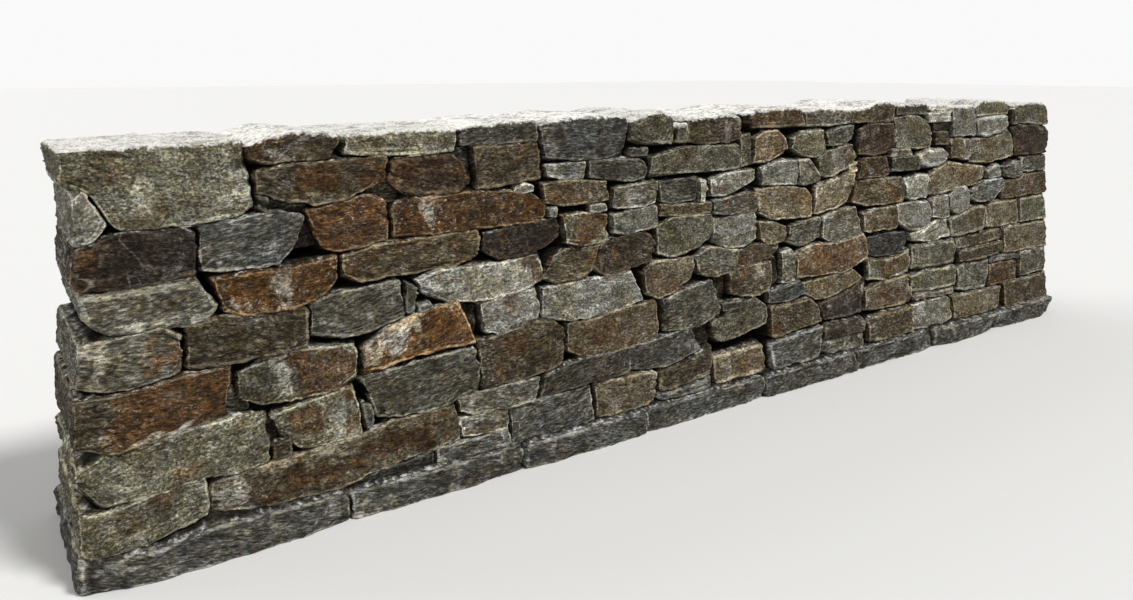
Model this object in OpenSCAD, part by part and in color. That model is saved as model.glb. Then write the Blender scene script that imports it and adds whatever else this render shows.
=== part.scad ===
// Dry stone garden wall: one straight run of split rubble laid without mortar in seven courses
// on thin footing slabs, with a leaning face and back, built ends and large stones along the top.
// Every joint between the stones shows as a wedge-shaped groove.
// X runs along the wall from left to right, -Y is the face and Z is up.
// The origin is in the middle of the base.

/* [Wall] */
// Thickness of the wall at ground level, without the footing
base_t = 500; // [440:5:600]
// How far the face leans back between the ground and the top
face_lean = 53; // [20:1:80]
// How far the back leans in between the ground and the top
back_lean = 47; // [20:1:80]

/* [Footing] */
// Height of the footing slabs
footing_h = 80; // [50:5:120]
// How far the footing stands out in front of the wall and behind it
footing_out = 35; // [10:5:60]

/* [Courses] */
// Height of course 1, the lowest
course_1_h = 130; // [90:5:170]
// Height of course 2
course_2_h = 130; // [90:5:170]
// Height of course 3
course_3_h = 135; // [90:5:170]
// Height of course 4
course_4_h = 130; // [90:5:170]
// Height of course 5
course_5_h = 115; // [90:5:170]
// Height of course 6
course_6_h = 135; // [90:5:170]
// Height of course 7, under the cap stones
course_7_h = 125; // [90:5:170]
// Depth of the face stones at ground level
face_depth = 190; // [150:5:210]
// Depth of the back stones at ground level
back_depth = 150; // [120:5:180]

/* [Joints] */
// Width of the open joints between the stones, at the face
joint_w = 22; // [10:2:40]
// Depth to which the joints are open
joint_depth = 45; // [20:5:70]

/* [Ends] */
// Length of the end stone of course 1 at the left end
left_quoin_1_l = 300; // [200:5:520]
// Length of the end stone of course 2 at the left end
left_quoin_2_l = 455; // [200:5:520]
// Length of the end stone of course 3 at the left end
left_quoin_3_l = 375; // [200:5:520]
// Length of the end stone of course 4 at the left end
left_quoin_4_l = 255; // [200:5:520]
// Length of the end stone of course 5 at the left end
left_quoin_5_l = 340; // [200:5:520]
// Length of the end stone of course 6 at the left end
left_quoin_6_l = 300; // [200:5:520]
// Length of the long end stones at the right end, in courses 1, 3 and 5
long_quoin_l = 420; // [340:10:520]
// Length of the short end stones at the right end, in courses 2, 4 and 6
short_quoin_l = 270; // [200:10:330]
// Length of the top end stone at the right end, in course 7
top_quoin_l = 320; // [200:10:520]
// How much is knocked off the upright edges of the right end, measured along each side
corner_cut = 40; // [10:5:70]

/* [Capping] */
// Height of the cap stones
cap_h = 90; // [60:5:120]
// Length of the corner block, which is one course and the capping high
corner_block_l = 430; // [340:10:520]
// Length of cap stone 1, next to the corner block
cap_1_l = 250; // [140:10:480]
// Length of cap stone 2
cap_2_l = 340; // [140:10:480]
// Length of cap stone 3
cap_3_l = 290; // [140:10:480]
// Length of cap stone 4
cap_4_l = 350; // [140:10:480]
// Length of cap stone 5
cap_5_l = 210; // [140:10:480]
// Length of cap stone 6
cap_6_l = 330; // [140:10:480]
// Length of cap stone 7
cap_7_l = 330; // [140:10:480]
// Length of cap stone 8
cap_8_l = 300; // [140:10:480]
// Length of cap stone 9
cap_9_l = 280; // [140:10:480]
// Length of cap stone 10
cap_10_l = 240; // [140:10:480]
// Length of cap stone 11
cap_11_l = 180; // [140:10:480]
// Length of cap stone 12
cap_12_l = 190; // [140:10:480]
// Length of cap stone 13
cap_13_l = 310; // [140:10:480]
// Length of cap stone 14, at the right end
cap_14_l = 330; // [140:10:480]

/* [Stones of the courses] */
// Stone lengths of course 1, from the left end stone to the right one
course_1_stones = [710, 170, 315, 265, 270, 290, 300, 280, 320, 300, 420]; // [120:5:800]
// Stone lengths of course 2
course_2_stones = [265, 355, 225, 350, 350, 320, 300, 275, 325, 340, 260, 270]; // [120:5:800]
// Stone lengths of course 3
course_3_stones = [335, 370, 315, 395, 280, 300, 540, 295, 355, 380]; // [120:5:800]
// Stone lengths of course 4
course_4_stones = [315, 300, 440, 410, 240, 200, 230, 510, 305, 300, 295, 290]; // [120:5:800]
// Stone lengths of course 5
course_5_stones = [320, 435, 295, 195, 195, 260, 230, 310, 290, 240, 250, 300, 280]; // [120:5:800]
// Stone lengths of course 6
course_6_stones = [285, 230, 515, 255, 210, 240, 235, 320, 265, 315, 180, 310, 270, 160]; // [120:5:800]
// Stone lengths of course 7
course_7_stones = [380, 265, 255, 170, 255, 440, 255, 210, 195, 250, 280, 290, 365]; // [120:5:800]

/* [Hidden] */
course_hs = [
    course_1_h, course_2_h, course_3_h, course_4_h, course_5_h, course_6_h, course_7_h
];
cap_ls = [
    cap_1_l, cap_2_l, cap_3_l, cap_4_l, cap_5_l, cap_6_l, cap_7_l,
    cap_8_l, cap_9_l, cap_10_l, cap_11_l, cap_12_l, cap_13_l, cap_14_l
];
left_quoin_ls = [
    left_quoin_1_l, left_quoin_2_l, left_quoin_3_l, left_quoin_4_l, left_quoin_5_l, left_quoin_6_l
];
course_stones = [
    course_1_stones, course_2_stones, course_3_stones, course_4_stones, course_5_stones,
    course_6_stones, course_7_stones
];

// Sum of the first n values of a list
function sum_of(list, n) = n == 0 ? 0 : list[n - 1] + sum_of(list, n - 1);

// Height at which course i starts, counted from 1
function bed(i) = footing_h + sum_of(course_hs, i - 1);

top_course = len(course_hs);
cap_z = bed(top_course + 1);
wall_h = cap_z + cap_h;
// The corner block and the cap stones together make the length of the wall
wall_l = corner_block_l + sum_of(cap_ls, len(cap_ls));
left_x = -wall_l / 2;
right_x = wall_l / 2;
heart_front_y = -base_t / 2 + face_depth;
heart_back_y = base_t / 2 - back_depth;

// Where the face and the back are at height z
function face_y(z) = -base_t / 2 + face_lean * z / wall_h;
function back_y(z) = base_t / 2 - back_lean * z / wall_h;

face_angle = atan(face_lean / wall_h);
back_angle = atan(back_lean / wall_h);

// Long and short end stones take turns up the right end, starting with a long one
function right_quoin_l(i) = i == top_course ? top_quoin_l : i % 2 == 1 ? long_quoin_l : short_quoin_l;
function left_quoin_l(i) = i == top_course ? corner_block_l : left_quoin_ls[i - 1];
function course_start(i) = left_x + left_quoin_l(i);
function course_end(i) = right_x - right_quoin_l(i);

// Joints of course i along X. The stones share the length between the end stones, in order
// from the left in the face and from the right in the back
function share(i, n) = let (ls = course_stones[i - 1]) sum_of(ls, n) / sum_of(ls, len(ls));
function face_joints(i) = [
    for (n = [0:len(course_stones[i - 1])])
        course_start(i) + (course_end(i) - course_start(i)) * share(i, n)
];
function back_joints(i) = [
    for (n = [0:len(course_stones[i - 1])])
        course_end(i) - (course_end(i) - course_start(i)) * share(i, n)
];

// The outline of a stone at the face and at the back. Its upper and lower edges fall back into the bed
// joints, except at the top of the wall
function bed_edge(z0, z1) = [
    [z0, joint_depth], [z0 + joint_w / 2, 0],
    each z1 == wall_h ? [[z1, 0]] : [[z1 - joint_w / 2, 0], [z1, joint_depth]]
];
function face_side(z0, z1) = [for (p = bed_edge(z0, z1)) [face_y(p[0]) + p[1], p[0]]];
function back_side(z0, z1) = let (edge = bed_edge(z0, z1), last = len(edge) - 1) [
    for (n = [0:last]) [back_y(edge[last - n][0]) - edge[last - n][1], edge[last - n][0]]
];

// Where cap stone i starts, counted from 1
function cap_x(i) = left_x + corner_block_l + sum_of(cap_ls, i - 1);

// A slab along X with the given section, drawn as Y and Z
module run(x0, x1, section) {
    translate([x0, 0, 0])
        rotate([90, 0, 90])
            linear_extrude(height = x1 - x0)
                polygon(section);
}

// The wedges that open the upright joints of the face between two heights
module face_cuts(xs, z0, z1) {
    for (x = xs)
        translate([x, face_y(z0), z0])
            rotate([-face_angle, 0, 0])
                translate([0, 0, -joint_w])
                    linear_extrude(height = z1 - z0 + 2 * joint_w)
                        polygon([[-joint_w, -joint_depth], [joint_w, -joint_depth], [0, joint_depth]]);
}

// The same for the back
module back_cuts(xs, z0, z1) {
    for (x = xs)
        translate([x, back_y(z0), z0])
            rotate([back_angle, 0, 0])
                translate([0, 0, -joint_w])
                    linear_extrude(height = z1 - z0 + 2 * joint_w)
                        polygon([[-joint_w, joint_depth], [joint_w, joint_depth], [0, -joint_depth]]);
}

// The wedges that open the joints along the top of the wall
module top_cuts(xs) {
    for (x = xs)
        translate([x, base_t / 2, wall_h])
            rotate([90, 0, 0])
                linear_extrude(height = base_t)
                    polygon([[-joint_w, joint_depth], [joint_w, joint_depth], [0, -joint_depth]]);
}

// A stone that reaches from the face to the back, with open joints at the places in xs
module through_stone(x0, x1, z0, z1, xs) {
    difference() {
        run(x0, x1, concat(face_side(z0, z1), back_side(z0, z1)));
        face_cuts(xs, z0, z1);
        back_cuts(xs, z0, z1);
        if (z1 == wall_h)
            top_cuts(xs);
    }
}

// The same at the right end, where the upright edges are knocked off
module cut_stone(x0, z0, z1) {
    slant = base_t + corner_cut;
    intersection() {
        through_stone(x0, right_x, z0, z1, [x0]);
        linear_extrude(height = wall_h)
            polygon([
                [left_x, face_y(z0) - base_t],
                [right_x - slant, face_y(z0) - base_t],
                [right_x, face_y(z0) + corner_cut],
                [right_x, back_y(z0) - corner_cut],
                [right_x - slant, back_y(z0) + base_t],
                [left_x, back_y(z0) + base_t]
            ]);
    }
}

module footing(x0, x1) {
    depth = base_t + 2 * footing_out;
    translate([x0, -depth / 2, 0])
        cube([x1 - x0, depth, footing_h]);
}

module face_course(i) {
    z0 = bed(i);
    z1 = bed(i + 1);
    difference() {
        run(course_start(i), course_end(i),
            concat(face_side(z0, z1), [[heart_front_y, z1], [heart_front_y, z0]]));
        face_cuts(face_joints(i), z0, z1);
    }
}

module back_course(i) {
    z0 = bed(i);
    z1 = bed(i + 1);
    difference() {
        run(course_start(i), course_end(i),
            concat([[heart_back_y, z0], [heart_back_y, z1]], back_side(z0, z1)));
        back_cuts(back_joints(i), z0, z1);
    }
}

module heart_course(i) {
    translate([course_start(i), heart_front_y, bed(i)])
        cube([course_end(i) - course_start(i), heart_back_y - heart_front_y, course_hs[i - 1]]);
}

module left_quoin(i) {
    through_stone(left_x, course_start(i), bed(i), bed(i + 1), [course_start(i)]);
}

module right_quoin(i) {
    cut_stone(course_end(i), bed(i), bed(i + 1));
}

module cap(i) {
    through_stone(cap_x(i), cap_x(i + 1), cap_z, wall_h, [cap_x(i), cap_x(i + 1)]);
}

module footing_left() {
    color("dimgray") footing(left_x, 0);
}

module footing_right() {
    color("slategray") footing(0, right_x);
}

module hearting() {
    color("darkgray")
        for (i = [1:top_course])
            heart_course(i);
}

module corner_block() {
    color("tan") through_stone(left_x, cap_x(1), bed(top_course), wall_h, [cap_x(1)]);
}

module face_course_1() {
    color("rosybrown") face_course(1);
}

module face_course_2() {
    color("sienna") face_course(2);
}

module face_course_3() {
    color("tan") face_course(3);
}

module face_course_4() {
    color("peru") face_course(4);
}

module face_course_5() {
    color("gray") face_course(5);
}

module face_course_6() {
    color("chocolate") face_course(6);
}

module face_course_7() {
    color("burlywood") face_course(7);
}

module back_course_1() {
    color("slategray") back_course(1);
}

module back_course_2() {
    color("darkkhaki") back_course(2);
}

module back_course_3() {
    color("gray") back_course(3);
}

module back_course_4() {
    color("tan") back_course(4);
}

module back_course_5() {
    color("rosybrown") back_course(5);
}

module back_course_6() {
    color("dimgray") back_course(6);
}

module back_course_7() {
    color("peru") back_course(7);
}

module left_quoin_1() {
    color("burlywood") left_quoin(1);
}

module left_quoin_2() {
    color("gray") left_quoin(2);
}

module left_quoin_3() {
    color("sienna") left_quoin(3);
}

module left_quoin_4() {
    color("darkkhaki") left_quoin(4);
}

module left_quoin_5() {
    color("tan") left_quoin(5);
}

module left_quoin_6() {
    color("slategray") left_quoin(6);
}

module right_quoin_1() {
    color("burlywood") right_quoin(1);
}

module right_quoin_2() {
    color("gray") right_quoin(2);
}

module right_quoin_3() {
    color("sienna") right_quoin(3);
}

module right_quoin_4() {
    color("darkkhaki") right_quoin(4);
}

module right_quoin_5() {
    color("tan") right_quoin(5);
}

module right_quoin_6() {
    color("slategray") right_quoin(6);
}

module right_quoin_7() {
    color("rosybrown") right_quoin(7);
}

module cap_1() {
    color("sienna") cap(1);
}

module cap_2() {
    color("darkkhaki") cap(2);
}

module cap_3() {
    color("dimgray") cap(3);
}

module cap_4() {
    color("slategray") cap(4);
}

module cap_5() {
    color("peru") cap(5);
}

module cap_6() {
    color("tan") cap(6);
}

module cap_7() {
    color("sienna") cap(7);
}

module cap_8() {
    color("gray") cap(8);
}

module cap_9() {
    color("rosybrown") cap(9);
}

module cap_10() {
    color("darkgray") cap(10);
}

module cap_11() {
    color("slategray") cap(11);
}

module cap_12() {
    color("gray") cap(12);
}

module cap_13() {
    color("tan") cap(13);
}

module cap_14() {
    color("sienna") cut_stone(cap_x(14), cap_z, wall_h);
}

footing_left();
footing_right();
face_course_1();
face_course_2();
face_course_3();
face_course_4();
face_course_5();
face_course_6();
face_course_7();
hearting();
back_course_1();
back_course_2();
back_course_3();
back_course_4();
back_course_5();
back_course_6();
back_course_7();
left_quoin_1();
left_quoin_2();
left_quoin_3();
left_quoin_4();
left_quoin_5();
left_quoin_6();
right_quoin_1();
right_quoin_2();
right_quoin_3();
right_quoin_4();
right_quoin_5();
right_quoin_6();
right_quoin_7();
corner_block();
cap_1();
cap_2();
cap_3();
cap_4();
cap_5();
cap_6();
cap_7();
cap_8();
cap_9();
cap_10();
cap_11();
cap_12();
cap_13();
cap_14();
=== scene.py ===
# %% [markdown]
# A dry stone garden wall. It is laid without mortar: split blocks of a layered, rust-stained stone
# stand in seven rough courses on thin slabs, and long stones close the top. Almost everything that
# makes such a wall look real is in the shape of each stone and in the dark joints between them, so
# this file builds every stone as its own closed mesh and keeps the solids only as a guide for place
# and size.

import math

import bpy
import numpy as np
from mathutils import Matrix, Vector


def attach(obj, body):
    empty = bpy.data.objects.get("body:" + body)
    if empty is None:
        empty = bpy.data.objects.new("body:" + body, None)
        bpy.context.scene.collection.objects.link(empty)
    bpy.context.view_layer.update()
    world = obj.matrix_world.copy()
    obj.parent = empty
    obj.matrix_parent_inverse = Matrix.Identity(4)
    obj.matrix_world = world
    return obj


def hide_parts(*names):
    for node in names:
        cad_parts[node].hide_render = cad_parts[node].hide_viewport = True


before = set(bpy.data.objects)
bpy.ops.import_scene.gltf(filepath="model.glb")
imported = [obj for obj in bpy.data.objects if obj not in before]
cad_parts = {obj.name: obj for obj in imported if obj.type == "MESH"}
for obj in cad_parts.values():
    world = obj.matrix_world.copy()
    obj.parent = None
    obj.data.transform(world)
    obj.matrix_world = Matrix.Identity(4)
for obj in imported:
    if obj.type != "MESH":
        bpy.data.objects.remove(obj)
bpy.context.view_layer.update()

# %% [markdown]
# The wall is measured on its own face: U runs along it in centimetres from the left end, and Z is the
# height above its base. The face leans back a little and the back leans in, so the depth of a point
# depends on its height. These few helpers hold that, and everything else is drawn in U and Z.

# %% Wall measures
PER_METRE = 100.0
WALL_LENGTH = 436.0
WALL_HEIGHT = 107.0
BASE_HALF = 25.0
FACE_LEAN = 5.3
BACK_LEAN = 4.7
FACE_WYTHE_INSIDE = -6.0
BACK_WYTHE_INSIDE = 10.0
WYTHE_GAP = 0.4
BEDS = [8.0, 21.0, 34.0, 47.5, 60.5, 72.0, 85.5, 98.0]


def face_y(z):
    return -BASE_HALF + FACE_LEAN * np.asarray(z) / WALL_HEIGHT


def back_y(z):
    return BASE_HALF - BACK_LEAN * np.asarray(z) / WALL_HEIGHT


def smooth(low, high, value):
    t = np.clip((value - low) / (high - low), 0, 1)
    return t * t * (3 - 2 * t)


print("face leans", round(math.degrees(math.atan(FACE_LEAN / WALL_HEIGHT)), 1), "degrees")

# %% [markdown]
# Broken stone has lumps of every size. Value noise gives them: random numbers on a grid, blended
# smoothly between the grid points. One seeded grid is enough, because each stone reads it from a place
# of its own.

# %% Seeded noise
GRID = 32
NOISE_GRID = np.random.default_rng(11).uniform(-1, 1, (GRID, GRID, GRID))


def lumps(p):
    cell = np.floor(p).astype(int)
    f = p - cell
    f = f * f * (3 - 2 * f)
    total = np.zeros(len(p))
    for corner in np.ndindex(2, 2, 2):
        x, y, z = ((cell[:, axis] + corner[axis]) % GRID for axis in range(3))
        weight_x, weight_y, weight_z = (f[:, axis] if corner[axis] else 1 - f[:, axis] for axis in range(3))
        total += weight_x * weight_y * weight_z * NOISE_GRID[x, y, z]
    return total


print("noise range:", round(float(lumps(np.random.default_rng(1).uniform(0, GRID, (500, 3))).max()), 2))

# %% [markdown]
# A stone starts as the skin of a box, cut into small squares that are closer together at the edges.
# A stone of the face is seen only from the front, so behind it the skin ends in one fan of triangles.
# A stone that runs through the wall, such as a cap or an end stone, needs its squares all round.

# %% Box skin
CLOSER_AT_EDGES = 0.42


def spaced(length, step):
    count = max(3, int(round(length / step)))
    t = np.linspace(0, 1, count + 1)
    return length * (t - CLOSER_AT_EDGES * np.sin(2 * np.pi * t) / (2 * np.pi))


def box_skin(xs, ys, zs, through):
    shape = (len(xs), len(ys), len(zs))
    i, j, k = np.indices(shape)
    skin = (i == 0) | (i == shape[0] - 1) | (j == 0) | (k == 0) | (k == shape[2] - 1)
    if through:
        skin |= j == shape[1] - 1
    index = np.full(shape, -1)
    index[skin] = np.arange(skin.sum())
    points = np.stack([xs[i[skin]], ys[j[skin]], zs[k[skin]]], 1)

    def squares(g):
        return np.stack([g[:-1, :-1], g[1:, :-1], g[1:, 1:], g[:-1, 1:]], -1).reshape(-1, 4)

    sides = [index[:, 0, :], index[0].T, index[-1], index[:, :, 0].T, index[:, :, -1]]
    if through:
        sides.append(index[:, -1, :].T)
        return points, np.concatenate([squares(g) for g in sides]), np.zeros((0, 3), int)
    quads = np.concatenate([squares(g) for g in sides])
    rim = np.concatenate([index[:-1, -1, 0], index[-1, -1, :-1], index[:0:-1, -1, -1], index[0, -1, :0:-1]])
    middle = len(points)
    points = np.vstack([points, [[(xs[0] + xs[-1]) / 2, ys[-1], (zs[0] + zs[-1]) / 2]]])
    return points, quads, np.stack([np.roll(rim, -1), rim, np.full(len(rim), middle)], 1)


print("squares along 20 cm:", len(spaced(20, 0.5)) - 1)

# %% [markdown]
# The outline of a stone on the face is two lines, its underside and its top, each a few points in U
# and Z. Between the two the stone is stretched like a sheet on two rods, so a wedge, a block and a long
# thin stone all come from the same few numbers. From them comes the size of the box that it starts as.

# %% Outline and size of a stone


def line(text):
    return np.array([[float(v) for v in point.split(",")] for point in text.split()])


def length_of(points):
    return np.hypot(*np.diff(points, axis=0).T).sum()


def along(points, s, soften=0.0):
    steps = np.hypot(*np.diff(points, axis=0).T)
    t = np.concatenate([[0], np.cumsum(steps)]) / steps.sum()
    out = np.zeros((len(s), 2))
    for shift, weight in ((-soften, 0.25), (0, 0.5), (soften, 0.25)):
        at = np.clip(s + shift, 0, 1)
        out += weight * np.stack([np.interp(at, t, points[:, 0]), np.interp(at, t, points[:, 1])], 1)
    return out


def size_of(low, high, side, depth):
    samples = np.linspace(0, 1, 9)
    length = (length_of(low) + length_of(high)) / 2
    height = max(1.0, float(np.mean(along(high, samples)[:, 1] - along(low, samples)[:, 1])))
    middle_z = (low[:, 1].mean() + high[:, 1].mean()) / 2
    if depth is None:
        depth = {
            "face": FACE_WYTHE_INSIDE - face_y(middle_z) - WYTHE_GAP,
            "back": back_y(middle_z) - BACK_WYTHE_INSIDE - WYTHE_GAP,
            "through": back_y(middle_z) - face_y(middle_z),
        }[side]
    return length, float(depth), height


print("a wedge:", [round(float(v), 1) for v in size_of(line("0,0 20,0"), line("0,8 20,14"), "face", None)])

# %% [markdown]
# The edges of the box are rounded first. Each point is drawn in to a smaller box and pushed out again
# along an ellipsoid, which also tells which way the surface faces there and where its edges are.

# %% Rounded edges
WIDEST_OF_LENGTH, WIDEST_OF_HEIGHT = 0.42, 0.46
EDGE_FROM, EDGE_TO = 0.12, 0.75
BEYOND_THE_FAN = 9


def rounded(p, size, rounding, arris, through):
    length, depth, height = size
    radius = min(rounding, WIDEST_OF_LENGTH * length, WIDEST_OF_HEIGHT * height)
    radii = np.array([radius, min(arris, radius), radius])
    inner_low = np.array([-length / 2, 0, -height / 2]) + radii
    far = depth if through else depth + BEYOND_THE_FAN
    inner_high = np.array([length / 2, far, height / 2]) - radii
    core = np.clip(p, inner_low, inner_high)
    n = (p - core) / radii
    if not through:
        n[-1] = (0, 1, 0)
    n /= np.linalg.norm(n, axis=1)[:, None]
    if not through:
        core[-1] = p[-1] - n[-1] * radii
    normal = n / radii
    normal /= np.linalg.norm(normal, axis=1)[:, None]
    edge = smooth(EDGE_FROM, EDGE_TO, np.sort(np.abs(n), axis=1)[:, 1])
    return core + n * radii, normal, edge


cube = np.array([[x, y, z] for x in (-2, 2) for y in (0, 4) for z in (-2, 2)], float)
print("the corner of a cube goes in to", rounded(cube, (4, 4, 4), 1.0, 1.0, True)[0][-1].round(2))

# %% [markdown]
# A hammer takes flat chips from the corners of a stone and leaves a few shallow facets on its face.
# Each is a plane, and what stands beyond it is pushed back to it. That is quicker than cutting the mesh
# with a boolean, and the squares stay small and even. The borders of the planes count as edges.

# %% Chips and facets
FACETS = 6
CHIP_DEPTH, FULL_HEIGHT = (0.1, 0.8), 9
FACET_DEPTH = (0.05, 0.23)
KNOCKED_DEPTH = (1.8, 3.0)
PUSHED_BACK = 0.93
CHIP_EDGE, CHIP_EDGE_WIDTH = 0.42, 0.4


def chip_planes(rng, size, chips, knocked, through):
    length, _, height = size
    planes = []
    for _ in range(chips):
        d = [
            rng.choice([-1, 1]) * rng.uniform(0.1, 1.0),
            -rng.uniform(0.3, 1.1),
            rng.choice([-1, 1]) * rng.uniform(0.1, 0.9),
        ]
        planes.append((np.array(d), rng.uniform(*CHIP_DEPTH) * min(1.0, height / FULL_HEIGHT)))
    for _ in range(FACETS):
        d = np.array([rng.uniform(-0.26, 0.26), -1.0, rng.uniform(-0.5, 0.5)])
        planes.append((d, rng.uniform(*FACET_DEPTH) * (abs(d[0]) * length + abs(d[2]) * height)))
    for name in knocked:
        x = {"l": -1, "r": 1}[name]
        planes.append((np.array([x, -0.8, rng.uniform(-0.15, 0.15)]), rng.uniform(*KNOCKED_DEPTH)))
    if through:
        planes += [(np.array([d[0] * rng.uniform(-1, 1.2), -d[1], d[2]]), cut) for d, cut in list(planes)]
    return planes


def chipped(p, edge, size, planes):
    length, depth, height = size
    for d, cut in planes:
        d = d / np.linalg.norm(d)
        far = abs(d[0]) * length / 2 + abs(d[2]) * height / 2 + max(0.0, d[1]) * depth - cut
        beyond = p @ d - far
        slant = math.hypot(d[0], d[2])
        edge = np.maximum(edge, smooth(CHIP_EDGE_WIDTH * slant, 0.0, np.abs(beyond)) * CHIP_EDGE)
        p = p - np.clip(beyond, 0, None)[:, None] * d * PUSHED_BACK
    return p, edge


print("facets on every face:", FACETS)

# %% [markdown]
# The rock splits in thin layers that run nearly level, so its broken sides step in and out. After the
# layers, noise of four sizes breaks up what is left. The two middle sizes are ridged, which gives the
# sharp little crests of broken stone instead of soft dents.

# %% Layers and lumps
LAYER_HEIGHTS = 64
LAYER_TILT = 0.07
LAYER_THICKNESS = (1.0, 2.4)
LEDGE_FROM = 0.7
# Size, strength, and whether it is ridged
LUMP_SIZES = ((9.0, 0.32, False), (4.0, 0.25, True), (2.1, 0.2, True), (1.2, 0.14, False))
LUMP_SHAPE = np.array([1.45, 1.1, 0.8])
THIN_BELOW, THIN_LUMPS, THICK_LUMPS = 8, 0.55, 0.85


def layered(rng, p, normal, strength):
    tilt = rng.uniform(-LAYER_TILT, LAYER_TILT)
    place = rng.uniform(0, GRID, 3)
    thick = rng.uniform(*LAYER_THICKNESS)
    heights = rng.uniform(-1, 1, LAYER_HEIGHTS)
    phase = (p[:, 2] + tilt * p[:, 0]) / thick + 0.7 * lumps(p / 6 + place) + place[0]
    k = np.floor(phase).astype(int)
    here, above = heights[k % LAYER_HEIGHTS], heights[(k + 1) % LAYER_HEIGHTS]
    ledge = here + (above - here) * smooth(LEDGE_FROM, 1.0, phase - k)
    ledge *= 0.55 + 0.75 * lumps(p / 9 + place[::-1])
    sideways = 1 - normal[:, 2] ** 2
    return p + normal * (ledge * sideways * strength * 0.5)[:, None] * [1, 1, 0.2], tilt, place


def lumpy(p, normal, place, height, rough):
    flat = THIN_LUMPS if height < THIN_BELOW else THICK_LUMPS
    for size, strength, ridged in LUMP_SIZES:
        at = p / (size * LUMP_SHAPE)
        bump = np.stack([lumps(at + place + m * 7.3) for m in range(3)], 1)
        if ridged:
            bump = (1 - 3.2 * np.abs(bump))[:, :1] * normal * 1.1
        p = p + bump * strength * rough * [1.0, 0.9, flat]
    return p


print("lumps from", LUMP_SIZES[0][0], "to", LUMP_SIZES[-1][0], "cm")

# %% [markdown]
# So far the stone stands in its own box. Here it goes to its place on the wall, between its two lines.
# The outlines were measured at the light part of each stone, and its dark edge lies a little outside,
# most of all below, where the stone is in its own shade, so it grows a little first. Behind the face
# the stones widen until they touch, which keeps daylight out of the joints.

# %% Onto the wall
GROW_ALONG, GROW_UP, GROW_DOWN = 0.9, 0.8, 1.7
WIDEN = 1.1
WIDEN_FROM, WIDEN_TO = 1.2, 5.0
SOFTEN = 0.8
CAP_SKEW = 2.6
SIDES = (("L", 0, -1), ("R", 0, 1), ("T", 2, 1), ("B", 2, -1))


def grown(p, normal, depth, grow, open_sides, through):
    ones = np.ones(len(p))
    wider = np.stack([GROW_ALONG * ones, 0 * ones, np.where(normal[:, 2] < 0, GROW_DOWN, GROW_UP)], 1)
    p = p + normal * wider * grow
    inside = smooth(WIDEN_FROM, WIDEN_TO, p[:, 1])
    inside = inside * (smooth(WIDEN_FROM, WIDEN_TO, depth - p[:, 1]) if through else 1)
    flare = normal * [1, 0, 1] * WIDEN * inside[:, None]
    for mark, axis, sign in SIDES:
        if mark in open_sides:
            flare[:, axis] = np.where(normal[:, axis] * sign > 0, 0, flare[:, axis])
    return p + flare


def on_the_wall(p, size, low, high, side, out, back_bottom, skewed):
    length, depth, height = size
    s, t = p[:, 0] / length + 0.5, p[:, 2] / height + 0.5
    s_inside, t_inside = np.clip(s, 0, 1), np.clip(t, 0, 1)
    a, b = along(low, s_inside, SOFTEN / length), along(high, s_inside, SOFTEN / length)
    if back_bottom is not None:
        a[:, 1] += (back_bottom - a[:, 1]) * smooth(0.3, 0.55, p[:, 1] / depth)
    uz = a + (b - a) * t_inside[:, None]
    u, z = uz[:, 0] + (s - s_inside) * length, uz[:, 1] + (t - t_inside) * height
    c = p[:, 1] - out
    if side == "through":
        # The joints between caps don't run square across the wall.
        skew = CAP_SKEW * np.sin(math.pi * np.clip(u / WALL_LENGTH, 0, 1)) * np.sin(u / 17 + 0.7)
        y = face_y(z) + c * (back_y(z) - face_y(z)) / depth
        x = u + (skew if skewed else 0) * smooth(0.05, 1.0, c / depth) - WALL_LENGTH / 2
    elif side == "face":
        y, x = face_y(z) + c, u - WALL_LENGTH / 2
    else:
        y, x = back_y(z) - c, WALL_LENGTH / 2 - u
    return np.stack([x, y, z], 1), u, s, t


print("joints are closed from", WIDEN_TO, "cm behind the face")

# %% [markdown]
# The materials need to know more about a point than its place, so three sets of numbers are written
# for them. The grain is the place inside the rock: it lies along the stone and stays straight, however
# much the outline bends. The look is the tone, the rust and the quartz, with zones that have their own.
# The wear and light numbers say how near a knocked edge, how deep in a joint and how much on an upper side
# it is: they place the pale knocks with a painted highlight, the painted shade in the joints and the painted
# sunlight on upper sides.

# %% Numbers for the materials
FAR_INSIDE = 9
GRAIN_TURN = 0.12
# How far the ragged border of a zone swings, in coarse and in fine noise, and the sizes of the two
SWING_COARSE, SWING_FINE = 2.4, 0.9
SIZE_COARSE, SIZE_FINE = 3.4, 1.3
ZONE_BORDER = 0.7
JOINT_FROM, JOINT_TO = 0.7, 3.7
# Painted sunlight on the top of a cap spills over its edge this much and this far, and other stones
# get little of it on their upper sides.
SPILL, SPILL_DOWN, SUNLIT_ELSEWHERE = 0.36, 1.7, 0.2


def grain_of(rng, u, z, depth_inside, low, high, tilt):
    run, rise = low[-1] - low[0] + high[-1] - high[0]
    turn = math.atan2(rise, run) - tilt + rng.uniform(-GRAIN_TURN, GRAIN_TURN)
    lengthwise = u * math.cos(turn) + z * math.sin(turn)
    upright = z * math.cos(turn) - u * math.sin(turn)
    return np.stack([lengthwise, depth_inside, upright], 1) / PER_METRE + rng.uniform(0, 9, 3)


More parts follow.
